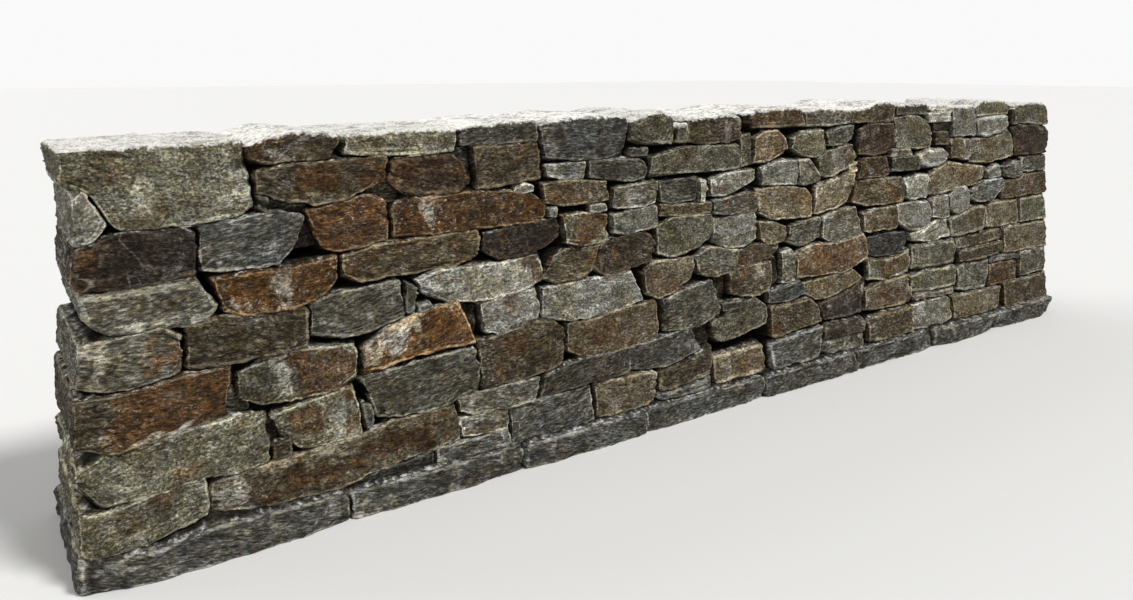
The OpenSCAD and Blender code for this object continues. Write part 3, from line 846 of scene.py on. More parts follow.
# %% Face stones
THROUGH = {"side": "through", "open_sides": "L", "step": 0.6}
BACKWARD = {"out": -3.0, "depth": 11.0}
FACE_STONES = {
    1: [
        (
            "olive", 0.25, (0.05, 0.05), (0.1, 0.1), "1,10 4,8 12,7.8 29.5,11.5",
            "1,19 8,18.5 20,20.5 29,21.5",
            dict(THROUGH, zones=[
                (0.3, 0.85, 0.35, 1, -0.15, 0.45, 0.0), (0.28, 0.55, 0, 0.35, 0.15, 0.0, 0.45),
            ]),
        ),
        (
            "buff", -0.12, (0.15, 0.1), (0.1, 0.1), "30.5,11.5 40,9.5 50,10 63,9.5 72,10.5 80,12 101,14",
            "31,18.5 45,20.8 70,22 78,24 99,24.5",
            {"chips": 7, "zones": [
                (0, 0.14, 0, 1, 0.3, 0.0, 0.35), (0.12, 0.5, 0.62, 1, 0.25, 0.0, 0.3),
                (0.13, 0.95, 0.14, 0.7, -0.36, 0.8, 0.0), (0.4, 0.8, 0, 0.25, -0.2, 0.3, 0.0),
                (0.9, 1, 0, 0.5, -0.1, 0.0, 0.1),
            ]},
        ),
        ("grey", 0.95, (0.1, 0.1), (0.1, 0.1), "101.5,14.5 117,13.5", "100.5,19.8 117,19.5"),
        ("slate", 0.36, (0.0, 0.0), (0.0, 0.0), "118.5,8.5 149,8.5", "118.5,19.3 149,20"),
        ("slate", -0.6, (0.0, 0.0), (0.0, 0.0), "66,8.2 92,8.2", "66,9.3 80,11 92,12.4"),
        ("slate", 0.3, (0.0, 0.0), (0.0, 0.0), "93,8.2 117.5,8.2", "93,12.8 117.5,12.8"),
    ],
    2: [
        (
            "olive", 0.33, (0.15, 0.0), (0.15, 0.0), "1,26 6,19.5 20,20.3 29,21.8 36,20.5 45,21.5",
            "1,28.5 8,32.5 25,33.5 38,34.7 45,34", THROUGH,
        ),
        ("brown", -0.46, (0.2, 0.2), (0.0, 0.0), "46,21.7 50.5,22", "46,25 50.5,26"),
        (
            "olive", 0.4, (0.1, 0.1), (0.0, 0.05), "49,27 53,23.3 60,22 71,22.5",
            "46,32.5 50,33.5 60,35 69,36",
            {"zones": [
                (0, 0.17, 0, 1, -0.1, 0.1, 0.1), (0.17, 0.6, 0.1, 0.9, 0.3, 1.0, 0.0),
                (0.58, 0.86, 0, 0.7, 0.45, 0.1, 0.8), (0.86, 1, 0.2, 1, 0.1, 0.6, 0.0),
            ]},
        ),
        ("grey", -0.3, (0.0, 0.0), (0.1, 0.1), "72,24 73.8,25", "70.8,31 73,30.5"),
        (
            "grey", -0.03, (0.05, 0.1), (0.0, 0.1), "75,27 82,25.3 92,24.8 107.8,27.4",
            "71,37.5 80,38.7 90,40 106.5,40.6", {"layers": 1.0, "chips": 7},
        ),
        (
            "brown", 0.05, (0.2, 0.1), (0.1, 0.0), "108.3,27.3 118,27 138,29.5",
            "107.7,41.5 116,43 127,45 135,43.5 139,40.5",
        ),
        ("grey", 0.35, (0.1, 0.1), (0.1, 0.1), "100.5,22.5 105,20.5 127,20", "100,26 112,26.8 129,26.8"),
        (
            "grey", -0.35, (0.2, 0.2), (0.05, 0.0), "129,20.2 145,21.5 164.5,22",
            "131,26.5 140,28.8 147,29.8 164.5,29.8",
        ),
        (
            "slate", 0.04, (0.0, 0.0), (0.1, 0.1), "165.5,21.7 182,20.8 198,23.5",
            "165.5,29.8 175,30.2 188,32 193,31.5",
        ),
        ("plum", -0.3, (0.1, 0.1), (0.0, 0.0), "198.5,24.5 203,25", "194.5,31.8 203,31", BACKWARD),
        ("brown", -0.3, (0.1, 0.1), (0.0, 0.0), "43,26 48.5,26", "43,31 48,31", BACKWARD),
    ],
    3: [
        (
            "brown", 0.0, (0.05, 0.3), (0.05, 0.0), "1,35.5 9,32.5 22,33.5 34.5,34.7",
            "1,46 12,46 24,47.3 37,47.7",
            dict(THROUGH, zones=[(0.2, 1, 0, 1, 0.15, 1.0, 0.0), (0.3, 0.75, 0, 0.1, 0.5, 0.3, 0.7)]),
        ),
        (
            "olive", 0.05, (0.45, 0.6), (0.1, 0.05), "38.5,38.8 45,36.3 56,35.8 64,36.5 70,38.5",
            "38,45.5 46,47.8 52,49.3 60,48.3 70,47.8",
            {"zones": [
                (0, 0.33, 0, 1, -0.38, 0.05, 0.0), (0.31, 0.45, 0.1, 0.9, 0.35, 0.0, 0.9),
                (0.46, 1, 0, 0.85, 0.05, 0.9, 0.0),
            ]},
        ),
        (
            "rust", 0.6, (0.8, 0.95), (0.15, 0.0), "71.5,39 83,41 95,42.3 107,41.5",
            "72,46 79,50.5 88,53 101,55",
            {"out": 0.8, "zones": [
                (0, 0.13, 0.1, 1, 0.6, 0.0, 1.0), (0.12, 0.62, 0.6, 1, 0.7, 0.0, 1.0),
                (0.25, 0.58, 0.35, 0.6, 0.6, 0.4, 0.55), (0.62, 1, 0, 0.8, 0.45, 1.0, 0.0),
                (0.8, 1, 0.8, 1, 0.4, 0.3, 0.3),
            ]},
        ),
        ("plum", -0.3, (0.1, 0.1), (0.0, 0.0), "103.5,46 108,43.5", "102.5,53.5 108,52.5", BACKWARD),
        (
            "pale", 0.02, (0.3, 0.2), (0.1, 0.2), "110,44.5 115,42.7 121,43.5 130,46",
            "109,52.5 116,54.2 129,54.8",
        ),
        (
            "pale", -0.13, (0.05, 0.05), (0.1, 0.2), "131.5,45.5 140,43.2 152,42.8 163,44 172,45",
            "131,54.5 148,54.9 167,55",
        ),
        (
            "buff", -0.06, (0.1, 0.6), (0.1, 0.0), "140,33.5 146,30.5 160,29.8 178,30.5",
            "140,41.5 152,42 163,43.3 176,44",
        ),
        (
            "grey", 0.05, (0.1, 0.0), (0.0, 0.2), "180.5,33 187,32.3 200,32.5 208,35",
            "179.5,43.5 190,46.3 203,47.2", {"layers": 1.0, "knocked": "l"},
        ),
        ("grey", -0.3, (0.0, 0.0), (0.0, 0.0), "208,35.8 219,36", "207.5,38.2 219,38.5"),
        (
            "olive", -0.15, (0.1, 0.1), (0.1, 0.0), "203.5,27 207.5,24.6 232,27.5",
            "204,31.5 212,34.7 225,38 231,33.5",
        ),
        (
            "slate", -0.29, (0.1, 0.2), (0.0, 0.0), "231.5,35.5 242,34.5 252,36", "232,39 240,40 250,40.8",
            {"layers": 1.2},
        ),
        (
            "buff", 0.1, (0.0, 0.0), (0.1, 0.15), "252.5,35.5 259,32.5 268,32 288,36.5",
            "252,39.5 265,40 283,40.5",
        ),
        ("plum", -0.3, (0.1, 0.1), (0.0, 0.0), "206,40 211.5,40", "206,48 211.5,48.5", BACKWARD),
        ("grey", -0.3, (0.1, 0.1), (0.0, 0.0), "34.5,35.5 41,35.5", "34.5,41.5 40,42.5", BACKWARD),
    ],
    4: [
        (
            "grey", 0.3, (0.0, 0.05), (0.15, 0.0), "2,49 10,46.9 18,47.5 25,48.7",
            "2.5,58.5 12,59.3 21,60.2 25,57",
            dict(THROUGH, zones=[
                (0.13, 0.2, 0.1, 0.95, 0.5, 0.0, 0.9), (0.58, 1, 0.1, 0.9, 0.3, 0.6, 0.0),
            ]),
        ),
        (
            "brown", -0.04, (0.1, 0.15), (0.05, 0.05), "26.5,49.2 36,48.6 56.5,49.6",
            "26.5,59.5 33,61 56.5,60.3", {"rounding": 0.9},
        ),
        (
            "grey", -0.1, (0.0, 0.05), (0.15, 0.1), "58,52 67,50.6 76,51 84.5,53.2",
            "57.5,60.8 66,62.3 83,63.8", {"layers": 0.9},
        ),
        ("grey", -0.35, (0.0, 0.0), (0.2, 0.2), "85,54 87.5,54.5", "84.8,63 88,60.5"),
        ("pale", -0.4, (0.0, 0.0), (0.1, 0.1), "88.5,53.8 93,54.2", "88.5,55.6 92.5,55.6"),
        (
            "pale", 0.22, (0.0, 0.1), (0.15, 0.0), "90,59.5 97,56 106,54.8 117,54.4 132,57.5",
            "88.5,62.8 95,65 115,64.5 130,66",
            {"out": 0.6, "zones": [(0.86, 1, 0.1, 1, 0.1, 1.0, 0.0), (0.1, 0.3, 0, 0.3, -0.3, 0.1, 0.0)]},
        ),
        ("brown", 0.33, (0.35, 0.25), (0.1, 0.0), "131.5,58 137,55.4 148.5,56", "135,63.5 140,66 154,65.5"),
        (
            "brown", -0.1, (0.2, 0.1), (0.0, 0.0), "150.5,59 156,55.6 164,55.5 176,58.5",
            "155,66 165,67.8 173,68 177,64",
        ),
        (
            "buff", 0.08, (0.5, 0.15), (0.1, 0.1), "173,47 178,44.6 186,46.8 195,49.3",
            "172,53.5 176,57.3 194,56.8",
        ),
        (
            "grey", 0.3, (0.1, 0.05), (0.1, 0.1), "197.5,51 204,48.8 215,49.3",
            "196,56.5 203,59.5 217,56.5", {"layers": 1.4},
        ),
        ("brown", 0.18, (0.3, 0.2), (0.0, 0.0), "216,50.8 225,50.8 235,52.5", "217,56 224,58 239,56.5"),
        (
            "brown", 0.32, (0.35, 0.3), (0.15, 0.1), "212,42 219,39.3 228,39.2 234,42",
            "212,48.5 218,50 233,50", {"rough": 1.6},
        ),
        ("plum", -0.34, (0.1, 0.1), (0.0, 0.0), "235.5,41.5 238,43", "235,51 237.5,51.5", {"out": -1.5}),
        ("grey", 0.7, (0.0, 0.1), (0.1, 0.1), "239,41.5 247,41.5", "240,53 245,54 248,52"),
        (
            "buff", 0.15, (0.6, 0.7), (0.05, 0.1), "248.5,42 260,42.3 275,41.3 291,45.5",
            "248,51.5 256,54.3 272,53 289,55",
        ),
        # Painted shade: this slate is painted darker for the shade it lies in.
        (
            "slate", -0.65, (0.0, 0.0), (0.0, 0.0), "291,47 298,44.8 312,44.5 318,46",
            "292,52.5 305,53.5 320,52.5", {"out": -1.2},
        ),
    ],
    5: [
        (
            "grey", 0.35, (0.0, 0.05), (0.15, 0.1), "4.5,64 10,60.5 22,60.5 31,60.2 34.5,63",
            "3.3,70.3 16,70.5 29.5,71 32,67", dict(THROUGH, rounding=2.4),
        ),
        (
            "rust", -0.05, (0.8, 0.9), (0.05, 0.05), "36,62.3 41,61 54,60.8 62,63 65,66",
            "33,70.5 42,70.8 54,71.3 65.5,72.5",
            {"out": 0.6, "zones": [
                (0.1, 0.5, 0, 0.16, 0.35, 0.0, 0.7), (0.42, 0.56, 0.3, 0.75, 0.1, 0.2, 0.65),
            ]},
        ),
        (
            "brown", 0.42, (0.45, 0.15), (0.05, 0.05), "67,67.5 72,65 86,65.4 100,65.6 109,68",
            "67,72 76,74 92,74.8 108.5,75", {"layers": 1.0},
        ),
        (
            "plum", -0.11, (0.1, 0.1), (0.05, 0.05), "110.5,69 116,65.7 128,66.3 138,70.5",
            "111,73.5 122,75 137,76",
        ),
        (
            "olive", 0.3, (0.6, 0.5), (0.05, 0.05), "140.5,68 148,66.4 157,67",
            "139.5,76.3 147,76.8 157.5,74.8",
        ),
        ("pale", -0.31, (0.0, 0.0), (0.1, 0.25), "159.5,69.5 165,68.3 178,70", "159,75 170,76 178,76.5"),
        (
            "olive", -0.07, (0.1, 0.1), (0.05, 0.1), "178,60.5 184,58.5 195,59.8 203,62.5",
            "177.5,69.5 186,71.8 203.5,71",
        ),
        (
            "pale", -0.19, (0.2, 0.05), (0.1, 0.1), "204.5,61.5 211,58.5 219,57.8 226.5,60.5",
            "204,69 215,69.5 226,69.8",
        ),
        ("buff", 0.03, (0.2, 0.1), (0.05, 0.05), "228.5,60 232,57.3 242,57.5", "227.5,66 236,65 243,62.5"),
        (
            "grey", 0.18, (0.0, 0.0), (0.1, 0.1), "243.5,57 250,54.8 256,56 262,57.5",
            "245,62.5 252,64 261.5,64.5", {"layers": 1.0},
        ),
        (
            "grey", 0.53, (0.0, 0.0), (0.15, 0.1), "263,56.5 268,54.2 278,53.8 288,55.8",
            "264,64.5 271,66 283,66.7",
        ),
        (
            "buff", -0.2, (0.7, 0.45), (0.1, 0.0), "289.5,56 295,55.5 311,55.5",
            "288.5,63.5 300,64.8 310,64.5",
        ),
        (
            "pale", -0.4, (0.0, 0.05), (0.2, 0.1), "312,58.5 320,53.8 327,53 335,54.5",
            "311,65 322,65.5 336,64",
        ),
        ("pale", -0.3, (0.0, 0.0), (0.1, 0.1), "337,57.5 345,56 350,57", "336.5,64.5 343,66 349,66"),
        (
            "pale", -0.48, (0.1, 0.1), (0.1, 0.1), "351,60 356,57.5 365,60",
            "350.5,66 356,69.5 363,69 366,66",
        ),
        (
            "slate", 0.25, (0.0, 0.0), (0.1, 0.0), "367,64 373,61.5 383,61.5 395,66",
            "368,66.5 374,69.5 382,70.5 392.5,71",
        ),
    ],
    6: [
        (
            "plum", -0.12, (0.3, 0.0), (0.35, 0.1), "3,72 12,71.7 21,71.3 29,72.3",
            "3,81 8,82.5 12,84 27,84 29.5,82", THROUGH,
        ),
        ("pale", -0.16, (0.0, 0.0), (0.2, 0.2), "3,82.9 7.5,83.2 10,86.5", "3.5,93 5.5,95", THROUGH),
        (
            "slate", 0.3, (0.0, 0.0), (0.15, 0.2), "30.5,73.2 40,72.3 50,72.5 54,76.5",
            "30.5,84 42,85 50,86 57,84",
        ),
        (
            "russet", 0.28, (0.75, 0.6), (0.0, 0.2), "61.5,75 66,73.8 80.5,75.8",
            "57.5,85.5 65,86.8 75,88.4 80,86",
        ),
        (
            "rust", -0.06, (0.6, 0.5), (0.15, 0.0), "82,76.3 90,76 110,75.8 132,76",
            "82.3,83.6 85,86 106,86.6 120,86 128,84.5 133,81",
            {"zones": [(0.16, 0.2, 0, 1, 0.35, 0.0, 0.95), (0.48, 0.68, 0.2, 1, -0.2, 0.3, 0.0)]},
        ),
        ("pale", 0.1, (0.0, 0.0), (0.2, 0.2), "121,85.7 125,85 129,85.5", "122,87 125,88 128.5,86.8"),
        ("pale", -0.35, (0.0, 0.0), (0.3, 0.3), "134,77.3 136.8,77", "134,79.3 137,79.3"),
        ("pale", -0.3, (0.0, 0.0), (0.3, 0.3), "150,77 157,77", "150.5,79 156.5,78.8"),
        ("brown", 0.5, (0.3, 0.25), (0.1, 0.1), "133,81.5 142,80 158,80.5", "132.5,87 142,87.7 157,86.2"),
        (
            "grey", 0.38, (0.0, 0.05), (0.1, 0.2), "159,77.5 170,76.8 178,77.8",
            "160,83.5 170,84.3 178.5,84.8",
        ),
        ("brown", 0.45, (0.0, 0.05), (0.05, 0.0), "179,73 190,72.3 203,72", "180,76.3 192,75.5 203.5,75.3"),
        (
            "grey", -0.37, (0.05, 0.05), (0.05, 0.05), "180.5,78 185,76.8 197,77", "180.5,84 197.5,85",
            {"out": -0.8},
        ),
        ("pale", 0.3, (0.0, 0.0), (0.2, 0.2), "198.5,76.4 201,76.6", "198.5,84 201.3,83.5"),
        (
            "grey", 0.1, (0.05, 0.05), (0.1, 0.1), "204.5,71.8 212,70.6 226,70.8",
            "204,75.5 215,77 226,77.3", {"layers": 1.1},
        ),
        (
            "pale", 0.0, (0.45, 0.0), (0.0, 0.2), "203.5,78.3 210,77.8 225,82.5",
            "203.5,83.5 210,85.3 226,85.6",
        ),
        (
            "buff", 0.3, (0.45, 0.65), (0.3, 0.0), "228,69.5 234,66.8 257,65.8",
            "227.3,78 241,77.8 254,76.5 257.3,73",
        ),
        (
            "buff", 0.45, (0.1, 0.25), (0.1, 0.0), "258.5,66.2 267,66.7 279,69.5",
            "260,76.8 268,78.2 277,80.3 284,80.3",
        ),
        (
            "brown", 0.38, (0.25, 0.2), (0.1, 0.1), "281,69 290,67 302,66.3 316,66.8",
            "285,77 300,77 316,76.8", {"layers": 1.4},
        ),
        ("pale", -0.2, (0.0, 0.1), (0.1, 0.15), "318,68 323,66.8 333,66.6", "318,75.8 327,77 334,76.3"),
        (
            "buff", 0.05, (0.08, 0.05), (0.0, 0.05), "335.5,66.8 345,67.2 357,70 366,69.6 380,72.5",
            "335.5,76 343,79 350,80.8 364,78.8 379,77", {"layers": 1.2},
        ),
        (
            "pale", -0.5, (0.0, 0.0), (0.2, 0.2), "381.5,72.5 384,71.4 392.5,72.5",
            "380.5,75 388,78 392,76.5",
        ),
        (
            "grey", -0.38, (0.05, 0.05), (0.0, 0.0), "394,72 402,70.8 409,71.4", "394,76 403,78 409,78",
            {"layers": 1.2},
        ),
        ("plum", -0.65, (0.0, 0.0), (0.1, 0.0), "51,75.3 61,76.5", "52,81.5 61,82.5", BACKWARD),
    ],
    7: [
        (
            "brown", -0.01, (0.45, 0.65), (0.05, 0.0), "45,91.5 52,89 61,87.3 70,88.9 80,92.5",
            "44.8,96.5 53,98 80.5,98.8",
            {"zones": [(0, 0.28, 0, 1, 0.05, 0.0, 0.1), (0.25, 0.8, 0, 0.28, 0.3, 0.0, 0.25)]},
        ),
        ("grey", -0.55, (0.0, 0.0), (0.1, 0.1), "44.8,87.8 47.5,86", "45.3,90.3 48,89.5"),
        (
            "russet", -0.22, (0.3, 0.2), (0.0, 0.1), "80.5,92 86,88 94,87 104,87.5 106.5,90",
            "82,97.3 90,98.1 101,98.4 104,96", {"rounding": 2.0},
        ),
        (
            "brown", 0.1, (0.2, 0.15), (0.05, 0.05), "108.7,87.5 118,88.2 132,89.3",
            "108,100 120,100.2 131,100.2", {"rounding": 1.0},
        ),
        ("slate", 0.48, (0.0, 0.0), (0.25, 0.2), "134,90 139,88.6 148,88.4", "133.5,92.5 142,93.2 149,93"),
        (
            "grey", -0.4, (0.1, 0.05), (0.1, 0.05), "150.2,88.5 161,87 168,85.6 174,86.5",
            "150,93.1 162,93.3 172,92.6 174.6,90",
        ),
        ("grey", -0.3, (0.0, 0.0), (0.2, 0.2), "167,94.2 175.5,93.8", "168,96.4 175,96.3"),
        (
            "olive", -0.13, (0.2, 0.2), (0.05, 0.05), "176,87 190,87.5 218.8,86.9",
            "176,93 184,94.5 190,95.6 218.5,95.2", {"layers": 1.0},
        ),
        ("olive", -0.28, (0.1, 0.1), (0.0, 0.0), "219.8,87.3 225,88", "219.8,98 225,99", {"out": -1.4}),
        (
            "buff", 0.45, (0.0, 0.65), (0.1, 0.0), "226,88.3 234,89 243.5,91",
            "226.3,97 232,99.6 239,100.2 243.5,97",
        ),
        (
            "olive", 0.35, (0.0, 0.0), (0.1, 0.1), "246,93 252,89.7 259,89 265.8,91",
            "247,96 252,98.5 264,99",
        ),
        (
            "grey", -0.18, (0.0, 0.0), (0.05, 0.0), "267.5,92.8 278,93 282,95.5",
            "267,97.5 275,99.5 283.5,100",
        ),
        ("pale", -0.22, (0.0, 0.0), (0.1, 0.15), "230,80 243,79.3 249,78.9", "229,85.5 238,88 249,87.8"),
        (
            "grey", 0.65, (0.0, 0.0), (0.15, 0.1), "250.3,78.8 255,78.3 262,79.2",
            "250.3,87.8 256,87.6 261.5,81.5",
        ),
        (
            "olive", -0.12, (0.6, 0.15), (0.1, 0.45), "262.8,81 267,80 284,85.3",
            "261.5,87.5 267,90.3 276,91.8 284,92",
        ),
        ("buff", 1.05, (0.1, 0.1), (0.0, 0.0), "280,81.3 285,81.7", "280,84 285.5,85"),
        (
            "russet", -0.25, (0.45, 0.3), (0.3, 0.05), "286.5,78.3 300,78.1 306.5,78.7",
            "287,85 291,86.3 305,86.2",
        ),
        (
            "russet", -0.42, (0.2, 0.15), (0.35, 0.05), "286.5,88.5 295,87.7 309.5,89.2",
            "287,97.5 292,99.6 309.5,99.8",
        ),
        (
            "olive", -0.2, (0.0, 0.35), (0.1, 0.0), "311,89.7 322,89.3 337,88.6",
            "310.8,102 318,102.8 328,102.3 335,99.8", {"depth": 13.0},
        ),
        ("grey", 0.35, (0.0, 0.0), (0.1, 0.1), "307.5,86.3 322,86", "308,88.6 321,88.4"),
        ("grey", -0.45, (0.05, 0.0), (0.05, 0.0), "308,80 327,80", "308,85.2 325.5,85.2"),
        (
            "pale", -0.38, (0.0, 0.0), (0.1, 0.15), "329,82 334,80 343,80 347.5,82",
            "326.3,86 335,87.5 345,87.8 349,85", {"rounding": 2.2},
        ),
        (
            "plum", -0.72, (0.1, 0.1), (0.0, 0.0), "339.5,96 350.5,96", "339.5,99.3 349.5,99.3",
            {"out": -1.0},
        ),
        ("brown", -0.45, (0.2, 0.2), (0.0, 0.0), "339.5,89.7 349,89.7", "339.5,95 349,94.8"),
        ("brown", 0.45, (0.0, 0.05), (0.05, 0.0), "350.5,83.5 361,82.6", "350.5,91 361,91.3"),
        ("pale", -0.6, (0.0, 0.0), (0.1, 0.3), "362,82.3 366.7,82", "362.2,90.5 367,90.5"),
        (
            "olive", -0.1, (0.2, 0.05), (0.0, 0.1), "367.8,80 380,79.6 392,80.7 403.5,81.2",
            "368,90.2 385,90.3 395,91.7 402,94",
        ),
        ("brown", -0.25, (0.1, 0.1), (0.0, 0.0), "75,86 84.5,86", "75,91.5 84.5,91.5", BACKWARD),
        ("grey", -0.3, (0.1, 0.1), (0.0, 0.0), "101,89 108.5,89", "101,99.5 108.5,99.5", BACKWARD),
        ("grey", -0.2, (0.1, 0.0), (0.0, 0.1), "47,85 58,84.8", "47,88.8 58,88.2", BACKWARD),
        (
            "pale", -0.55, (0.15, 0.2), (0.05, 0.05), "373,92.3 383,91.6 393,93 399,95.8",
            "372,100 385,100.9 398,100.9", {"rounding": 2.2},
        ),
    ],
}
print("face stones measured:", sum(map(len, FACE_STONES.values())))

# %% [markdown]
# Each row becomes a stone, and each stone an object of its own, so that a large stone can be lifted out
# and looked at. The small pinning stones of a course share one object. No two stones stand out alike,
# and the stones at the far end of the wall are painted lighter, as painted sunlight. The seed of a stone
# is its course and its number.

# %% Face stones into the wall
PINNING_AREA = 55
STANDS_OUT = 0.5
LIGHTER_FROM, LIGHTER_TO, LIGHTER_BY = 200, 360, 0.3


def stone_from(row, seed):
    finish, tone, rust, pale, bottom, top, *options = row
    values = {"out": np.random.default_rng(seed).uniform(-STANDS_OUT, STANDS_OUT)}
    values.update(*options)
    # Painted sunlight: the stones toward the far end are painted lighter.
    tone += LIGHTER_BY * float(smooth(LIGHTER_FROM, LIGHTER_TO, line(bottom)[0, 0]))
    return make_stone(seed, bottom, top, finish, tone, rust, pale, **values)


def is_small(row):
    low, high = line(row[4]), line(row[5])
    return (length_of(low) + length_of(high)) / 2 * (high[:, 1].mean() - low[:, 1].mean()) < PINNING_AREA


for course, rows in FACE_STONES.items():
    small = []
    for number, row in enumerate(rows, 1):
        stone = stone_from(row, 1000 * course + number)
        if dict(*row[6:]).get("side") == "through":
            put_stones(f"end_stone_left_{course}_{number}", [stone], [f"left_quoin_{course}"])
        elif is_small(row):
            small.append(stone)
        else:
            put_stones(f"face_stone_{course}_{number}", [stone], [f"face_course_{course}"])
    if small:
        put_stones(f"pinning_stones_{course}", small, [f"face_course_{course}"])
    print("course", course, "stones", len(rows), "small ones together", len(small))

# %% [markdown]
# The lower courses at the right couldn't be measured. On a level base they show, and they are laid here
# as the waller would have: rows on the same beds, joints broken, stones of the same sizes, closing up
# under the measured ones. The random choices are seeded, so the wall is the same each time. The stone
# lengths are those of the solids, so that each joint lies in the joint of its solid.

# %% Lengths and looks of guessed stones
USUAL = ["grey", "brown", "olive", "buff", "slate", "russet", "plum", "pale", "rust"]
SHARES = [0.24, 0.2, 0.16, 0.13, 0.09, 0.07, 0.05, 0.04, 0.02]
# Stone lengths between the end stones, course by course, as in the solids
STONE_LENGTHS = {
    1: [71, 17, 31.5, 26.5, 27, 29, 30, 28, 32, 30, 42],
    2: [26.5, 35.5, 22.5, 35, 35, 32, 30, 27.5, 32.5, 34, 26, 27],
    3: [33.5, 37, 31.5, 39.5, 28, 30, 54, 29.5, 35.5, 38],
    4: [31.5, 30, 44, 41, 24, 20, 23, 51, 30.5, 30, 29.5, 29],
    5: [32, 43.5, 29.5, 19.5, 19.5, 26, 23, 31, 29, 24, 25, 30, 28],
    6: [28.5, 23, 51.5, 25.5, 21, 24, 23.5, 32, 26.5, 31.5, 18, 31, 27, 16],
    7: [38, 26.5, 25.5, 17, 25.5, 44, 25.5, 21, 19.5, 25, 28, 29, 36.5],
}
LEFT_END_LENGTH = {1: 30, 2: 45.5, 3: 37.5, 4: 25.5, 5: 34, 6: 30, 7: 43}
RIGHT_END_LENGTH = {1: 42, 2: 27, 3: 42, 4: 27, 5: 42, 6: 27, 7: 32}


def guessed_look(rng):
    finish = rng.choice(USUAL, p=SHARES)
    rusty = rng.uniform(0, 0.5, 2) if rng.random() < 0.5 else rng.uniform(0, 0.15, 2)
    return {
        "finish": finish,
        "tone": rng.uniform(-0.15, 0.3),
        "rust": tuple(rusty),
        "pale": tuple(rng.uniform(0, 0.25, 2)),
    }


def joints_of(course, side):
    start = {"face": LEFT_END_LENGTH, "back": RIGHT_END_LENGTH}[side][course]
    return start + np.concatenate([[0], np.cumsum(STONE_LENGTHS[course])])


print("joints in a row:", [len(lengths) + 1 for lengths in STONE_LENGTHS.values()])

# %% [markdown]
# A row of stones lies between a bed and a ceiling, which are both lines along the wall. Its upright
# joints lean, each its own way, and on each stone one corner above and one below fall back a little, as
# on any stone that was only roughly squared. Some places hold two stones: a thin plate below or above
# the other, or two alike.

# %% Rows of guessed stones
JOINT_HALF = 0.7
BED_JOINT_HALF = 0.4
LEAN = 1.9
LEAN_AT_ENDS = 0.2
DOUBLED_FROM, DOUBLED = 8.5, 0.3


def split_in_two(low, high, share):
    between = [((l[0] + h[0]) / 2, l[1] + (h[1] - l[1]) * share) for l, h in zip(low, high)]
    under = [(u, z - BED_JOINT_HALF) for u, z in between]
    return [(low, under), ([(u, z + BED_JOINT_HALF) for u, z in between], high)]


def rough_outline(rng, a, b, lean_a, lean_b, bed, ceiling):
    drop = rng.uniform(0.4, 1.0, 4)
    drop[rng.integers(2)] += rng.uniform(0, 1.6)
    drop[2 + rng.integers(2)] += rng.uniform(0, 1.2)
    c, d = a + (b - a) * rng.uniform(0.15, 0.35), a + (b - a) * rng.uniform(0.65, 0.85)
    rise, fall = rng.uniform(0.2, 0.9, 2), rng.uniform(0.2, 0.8, 2)
    low = [(a - lean_a, bed(a) + drop[2]), (c, bed(c) + fall[0]), (d, bed(d) + fall[1])]
    high = [(a + lean_a, ceiling(a) - drop[0]), (c, ceiling(c) - rise[0]), (d, ceiling(d) - rise[1])]
    return low + [(b - lean_b, bed(b) + drop[3])], high + [(b + lean_b, ceiling(b) - drop[1])]


def row_of_stones(seed, places, bed, ceiling, side, step):
    rng = np.random.default_rng(seed)
    stones = []
    lean = rng.uniform(-LEAN, LEAN, len(places))
    lean[[0, -1]] *= LEAN_AT_ENDS
    for n in range(len(places) - 1):
        a, b = places[n] + JOINT_HALF, places[n + 1] - JOINT_HALF
        low, high = rough_outline(rng, a, b, lean[n], lean[n + 1], bed, ceiling)
        tall = min(h[1] - l[1] for h, l in zip(high, low))
        cuts = [(low, high)]
        if tall > DOUBLED_FROM and rng.random() < DOUBLED:
            cuts = split_in_two(low, high, rng.choice([0.24, 0.48, 0.76]) + rng.uniform(-0.04, 0.04))
        for outline in cuts:
            bottom, top = (" ".join(f"{u:.2f},{z:.2f}" for u, z in part) for part in outline)
            stone = make_stone(
                int(rng.integers(1 << 30)),
                bottom,
                top,
                side=side,
                step=step,
                out=rng.uniform(-1.1, 0.7),
                grow=0.1,
                rounding=rng.uniform(0.8, 2.2),
                chips=8,
                layers=rng.uniform(0.4, 1.3),
                rough=rng.uniform(0.9, 1.3),
                **guessed_look(rng),
            )
            stones.append(stone)
    return stones


print("guessed joints are", 2 * JOINT_HALF, "cm wide")

# %% [markdown]
# The beds of the guessed rows sway a little, as those of the measured ones do. Where a row reaches up to
# the measured stones, its ceiling is their lower border, which is written down as one line.

# %% Lower right of the face
SEEN_FROM = line(
    "149,20 150,21 164,21.2 182,20.2 198,22.8 203,26.2 207.5,24 231,26.8 232,34.6 242,33.8 252,35 259,31.8 "
    "268,31.3 288,35.8 290.5,45.5 298,44 312,43.8 319.5,45 320.5,52.6 327,52 335,53.8 337,56.6 345,55.2 "
    "350,56 356,56.8 366,59.4 373,60.8 383,60.8 393,65 393.5,70.2"
)
HIGHEST_CEILING = 60.3
OVER_FOOTING = 0.2
LOWER_STEP = 0.8
LOWER_SEED, LOWER_BED_SEED = 500, 70
FACE_SWAY, BACK_SWAY = 1.4, 1.3
# Course, the stretch of it, and whether it closes up under the measured stones
LOWER_ROWS = [
    (1, 149, 204, True),
    (1, 202, 395, False),
    (2, 231, 291, True),
    (2, 288, 410, False),
    (3, 289, 322, True),
    (3, 319, 395, False),
    (4, 320, 410, True),
]


def under_measured(u):
    return min(float(np.interp(u, SEEN_FROM[:, 0], SEEN_FROM[:, 1])), HIGHEST_CEILING)


def swaying_bed(z, sway, seed):
    turn = np.random.default_rng(seed).uniform(0, 6, 2)
    return lambda u: z + sway * (0.6 * math.sin(u / 31 + turn[0]) + 0.4 * math.sin(u / 13 + turn[1]))


